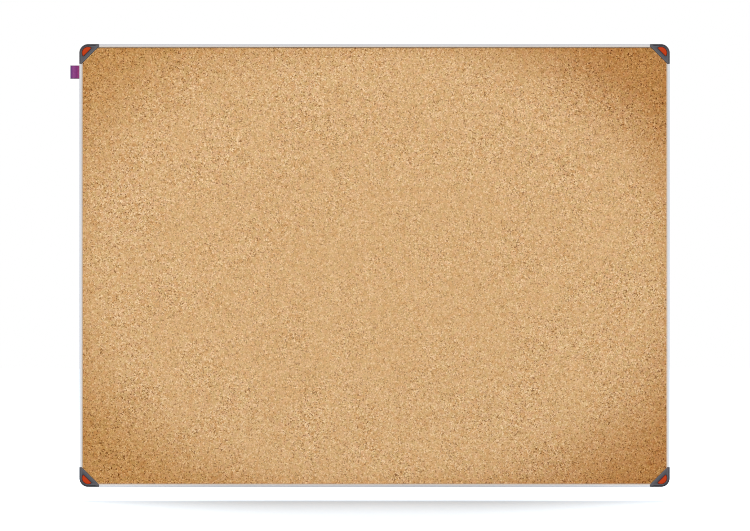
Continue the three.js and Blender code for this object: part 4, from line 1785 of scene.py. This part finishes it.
@dataclass
class Studio:
    """White floor and room, three lamps and a camera straight in front.

    The key lamp lights the board from the upper left in front. One lamp above and behind throws
    the board's shadow forwards on the floor, and one behind lights the back.
    """

    sizes: BoardSizes
    floor_drop: float = 319.0
    floor_half: float = 9000.0
    floor_lines: int = 13
    floor_dark: str = "#5F6060"
    floor_pale: str = "#CBCCCD"
    glow_tint: str = "#E9F5FF"
    glow_reach: tuple[float, float] = (0.49, 1.5)
    glow_span: tuple[float, float] = (0.25, 1.27)
    glow_level: tuple[float, float] = (0.47, 1.1)
    room_light: float = 0.35
    lens: float = 250.0
    sensor: float = 36.0
    clip: tuple[float, float] = (0.05, 60.0)
    pixel: float = 1.355
    centre_x: float = 374.53
    centre_y: float = 265.5
    sharpness: float = 1.0
    lamps: tuple[Lamp, ...] = (
        Lamp("key", (-9.0, -25.0, 25.2), (9.0, 9.0), 15050.0, Lit.BOARD, soft_corners=True),
        Lamp("overhead", (0.0, 2.0, 5.9), (6.0, 3.2), 352.0, Lit.FLOOR),
        Lamp("rear", (1.2, 4.6, 2.4), (2.6, 2.0), 250.0, Lit.BOARD),
    )

    def camera(self) -> None:
        """A camera at the distance where one pixel covers the measured size on the front of the rails."""
        data = bpy.data.cameras.new("camera")
        data.sensor_fit, data.sensor_width, data.lens = "HORIZONTAL", self.sensor, self.lens
        data.clip_start, data.clip_end = self.clip
        distance = PHOTO_WIDTH * self.pixel * self.lens / self.sensor
        x = (PHOTO_WIDTH / 2 - self.centre_x) * self.pixel
        z = (self.centre_y - PHOTO_HEIGHT / 2) * self.pixel
        made = bpy.data.objects.new("camera", data)
        made.location = Vector((x, -self.sizes.wall_depth - distance, z)) * MM
        made.rotation_euler = (QUARTER, 0, 0)
        bpy.context.scene.collection.objects.link(made)
        bpy.context.scene.camera = made

    def floor(self) -> bpy.types.Object:
        """A level floor that keeps the shadow under the board and turns white away from it.

        Returns:
            The floor, marked as stage.
        """
        across = np.linspace(-self.floor_half, self.floor_half, self.floor_lines)
        x, y = np.meshgrid(across, across, indexing="ij")
        points = np.stack([x, y, np.full_like(x, -self.floor_drop)], axis=2).reshape(-1, 3)
        made = Shell(points, grid_faces(np.arange(x.size).reshape(x.shape))).piece("floor")
        material, add = new_material("white_studio_floor")
        # It throws little light back up, as with dark flags on it, so that the lip's shadow stays clear.
        seen = self.seen(add)
        tint = add("Mix", {SHARE: seen, FIRST: linear(self.floor_dark), SECOND: linear(self.floor_pale)},
                   data_type="RGBA").outputs[MIXED]
        paint = add("BsdfDiffuse", {"Color": tint})
        coords = add("TexCoord").outputs["Object"]
        # Distance from the middle, 1 at the reach to the side or to the front and back, in metres.
        aside, ahead = self.glow_reach
        away = add("VectorMath", {0: coords, 1: (1 / aside, 1 / ahead, 0.0)}, operation="MULTIPLY")
        far = add("VectorMath", {0: away}, operation="LENGTH").outputs["Value"]
        near_end, far_end = self.glow_span
        dim, bright = self.glow_level
        glow = add("MapRange", {"Value": far, "From Min": near_end, "From Max": far_end,
                                "To Min": dim, "To Max": bright}, interpolation_type="SMOOTHSTEP")
        strength = add("Math", {0: glow, 1: seen}, operation="MULTIPLY")
        # A little blue, against the warm light that the cork throws on the floor.
        light = add("Emission", {"Color": linear(self.glow_tint), "Strength": strength})
        both = add("AddShader", {0: paint, 1: light})
        add("OutputMaterial", {"Surface": both})
        dress(made, material)
        return made

    @staticmethod
    def seen(add: NodeAdder) -> bpy.types.Node:
        """1 for rays from the camera, a mirror or glass, and 0 for rays that only carry light.

        Args:
            add: Adds a node to the material or the world.

        Returns:
            The node that holds it.
        """
        ray = add("LightPath").outputs
        first = add("Math", {0: ray["Is Camera Ray"], 1: ray["Is Glossy Ray"]}, operation="MAXIMUM")
        return add("Math", {0: first, 1: ray["Is Transmission Ray"]}, operation="MAXIMUM")

    def room(self) -> None:
        """A world that looks white and lights the board at about a third of that strength."""
        world = bpy.data.worlds.new("studio")
        bpy.context.scene.world = world
        world.use_nodes = True
        world.node_tree.nodes.clear()
        add = partial(add_node, world.node_tree)
        strength = add("MapRange", {"Value": self.seen(add), "To Min": self.room_light, "To Max": 1.0})
        sky = add("Background", {"Color": linear("#FFFFFF"), "Strength": strength})
        add("OutputWorld", {"Surface": sky})

    def build(self, corners: Sequence[bpy.types.Object]) -> None:
        """Sets up the view, the room, the floor and the lamps.

        Args:
            corners: The corner mouldings, for the lamps that are soft on them.
        """
        bpy.context.scene.view_settings.view_transform = "Standard"
        bpy.context.scene.cycles.filter_width = self.sharpness
        # Smoothed guides would let the denoiser run the fine cork grains together.
        bpy.context.scene.cycles.denoising_prefilter = "NONE"
        self.camera()
        self.room()
        floor = self.floor()
        for lamp in self.lamps:
            lamp.hang(floor, corners)


def main() -> None:
    """Builds the sub-assemblies in order and reports each piece."""
    logging.basicConfig(level=logging.INFO, format="%(name)s: %(message)s")
    sizes = BoardSizes.measured()
    made: dict[type, list[bpy.types.Object]] = {}
    for assembly in (CorkPanel, FrameRails, CornerMoulding, ScrewCover, LockingScrews, FabricTag):
        made[assembly] = assembly(sizes).build()
        for piece in made[assembly]:
            log.info("%s: %d faces", piece.name, len(piece.data.polygons))
    Studio(sizes).build(made[CornerMoulding])


if __name__ == "__main__":
    main()
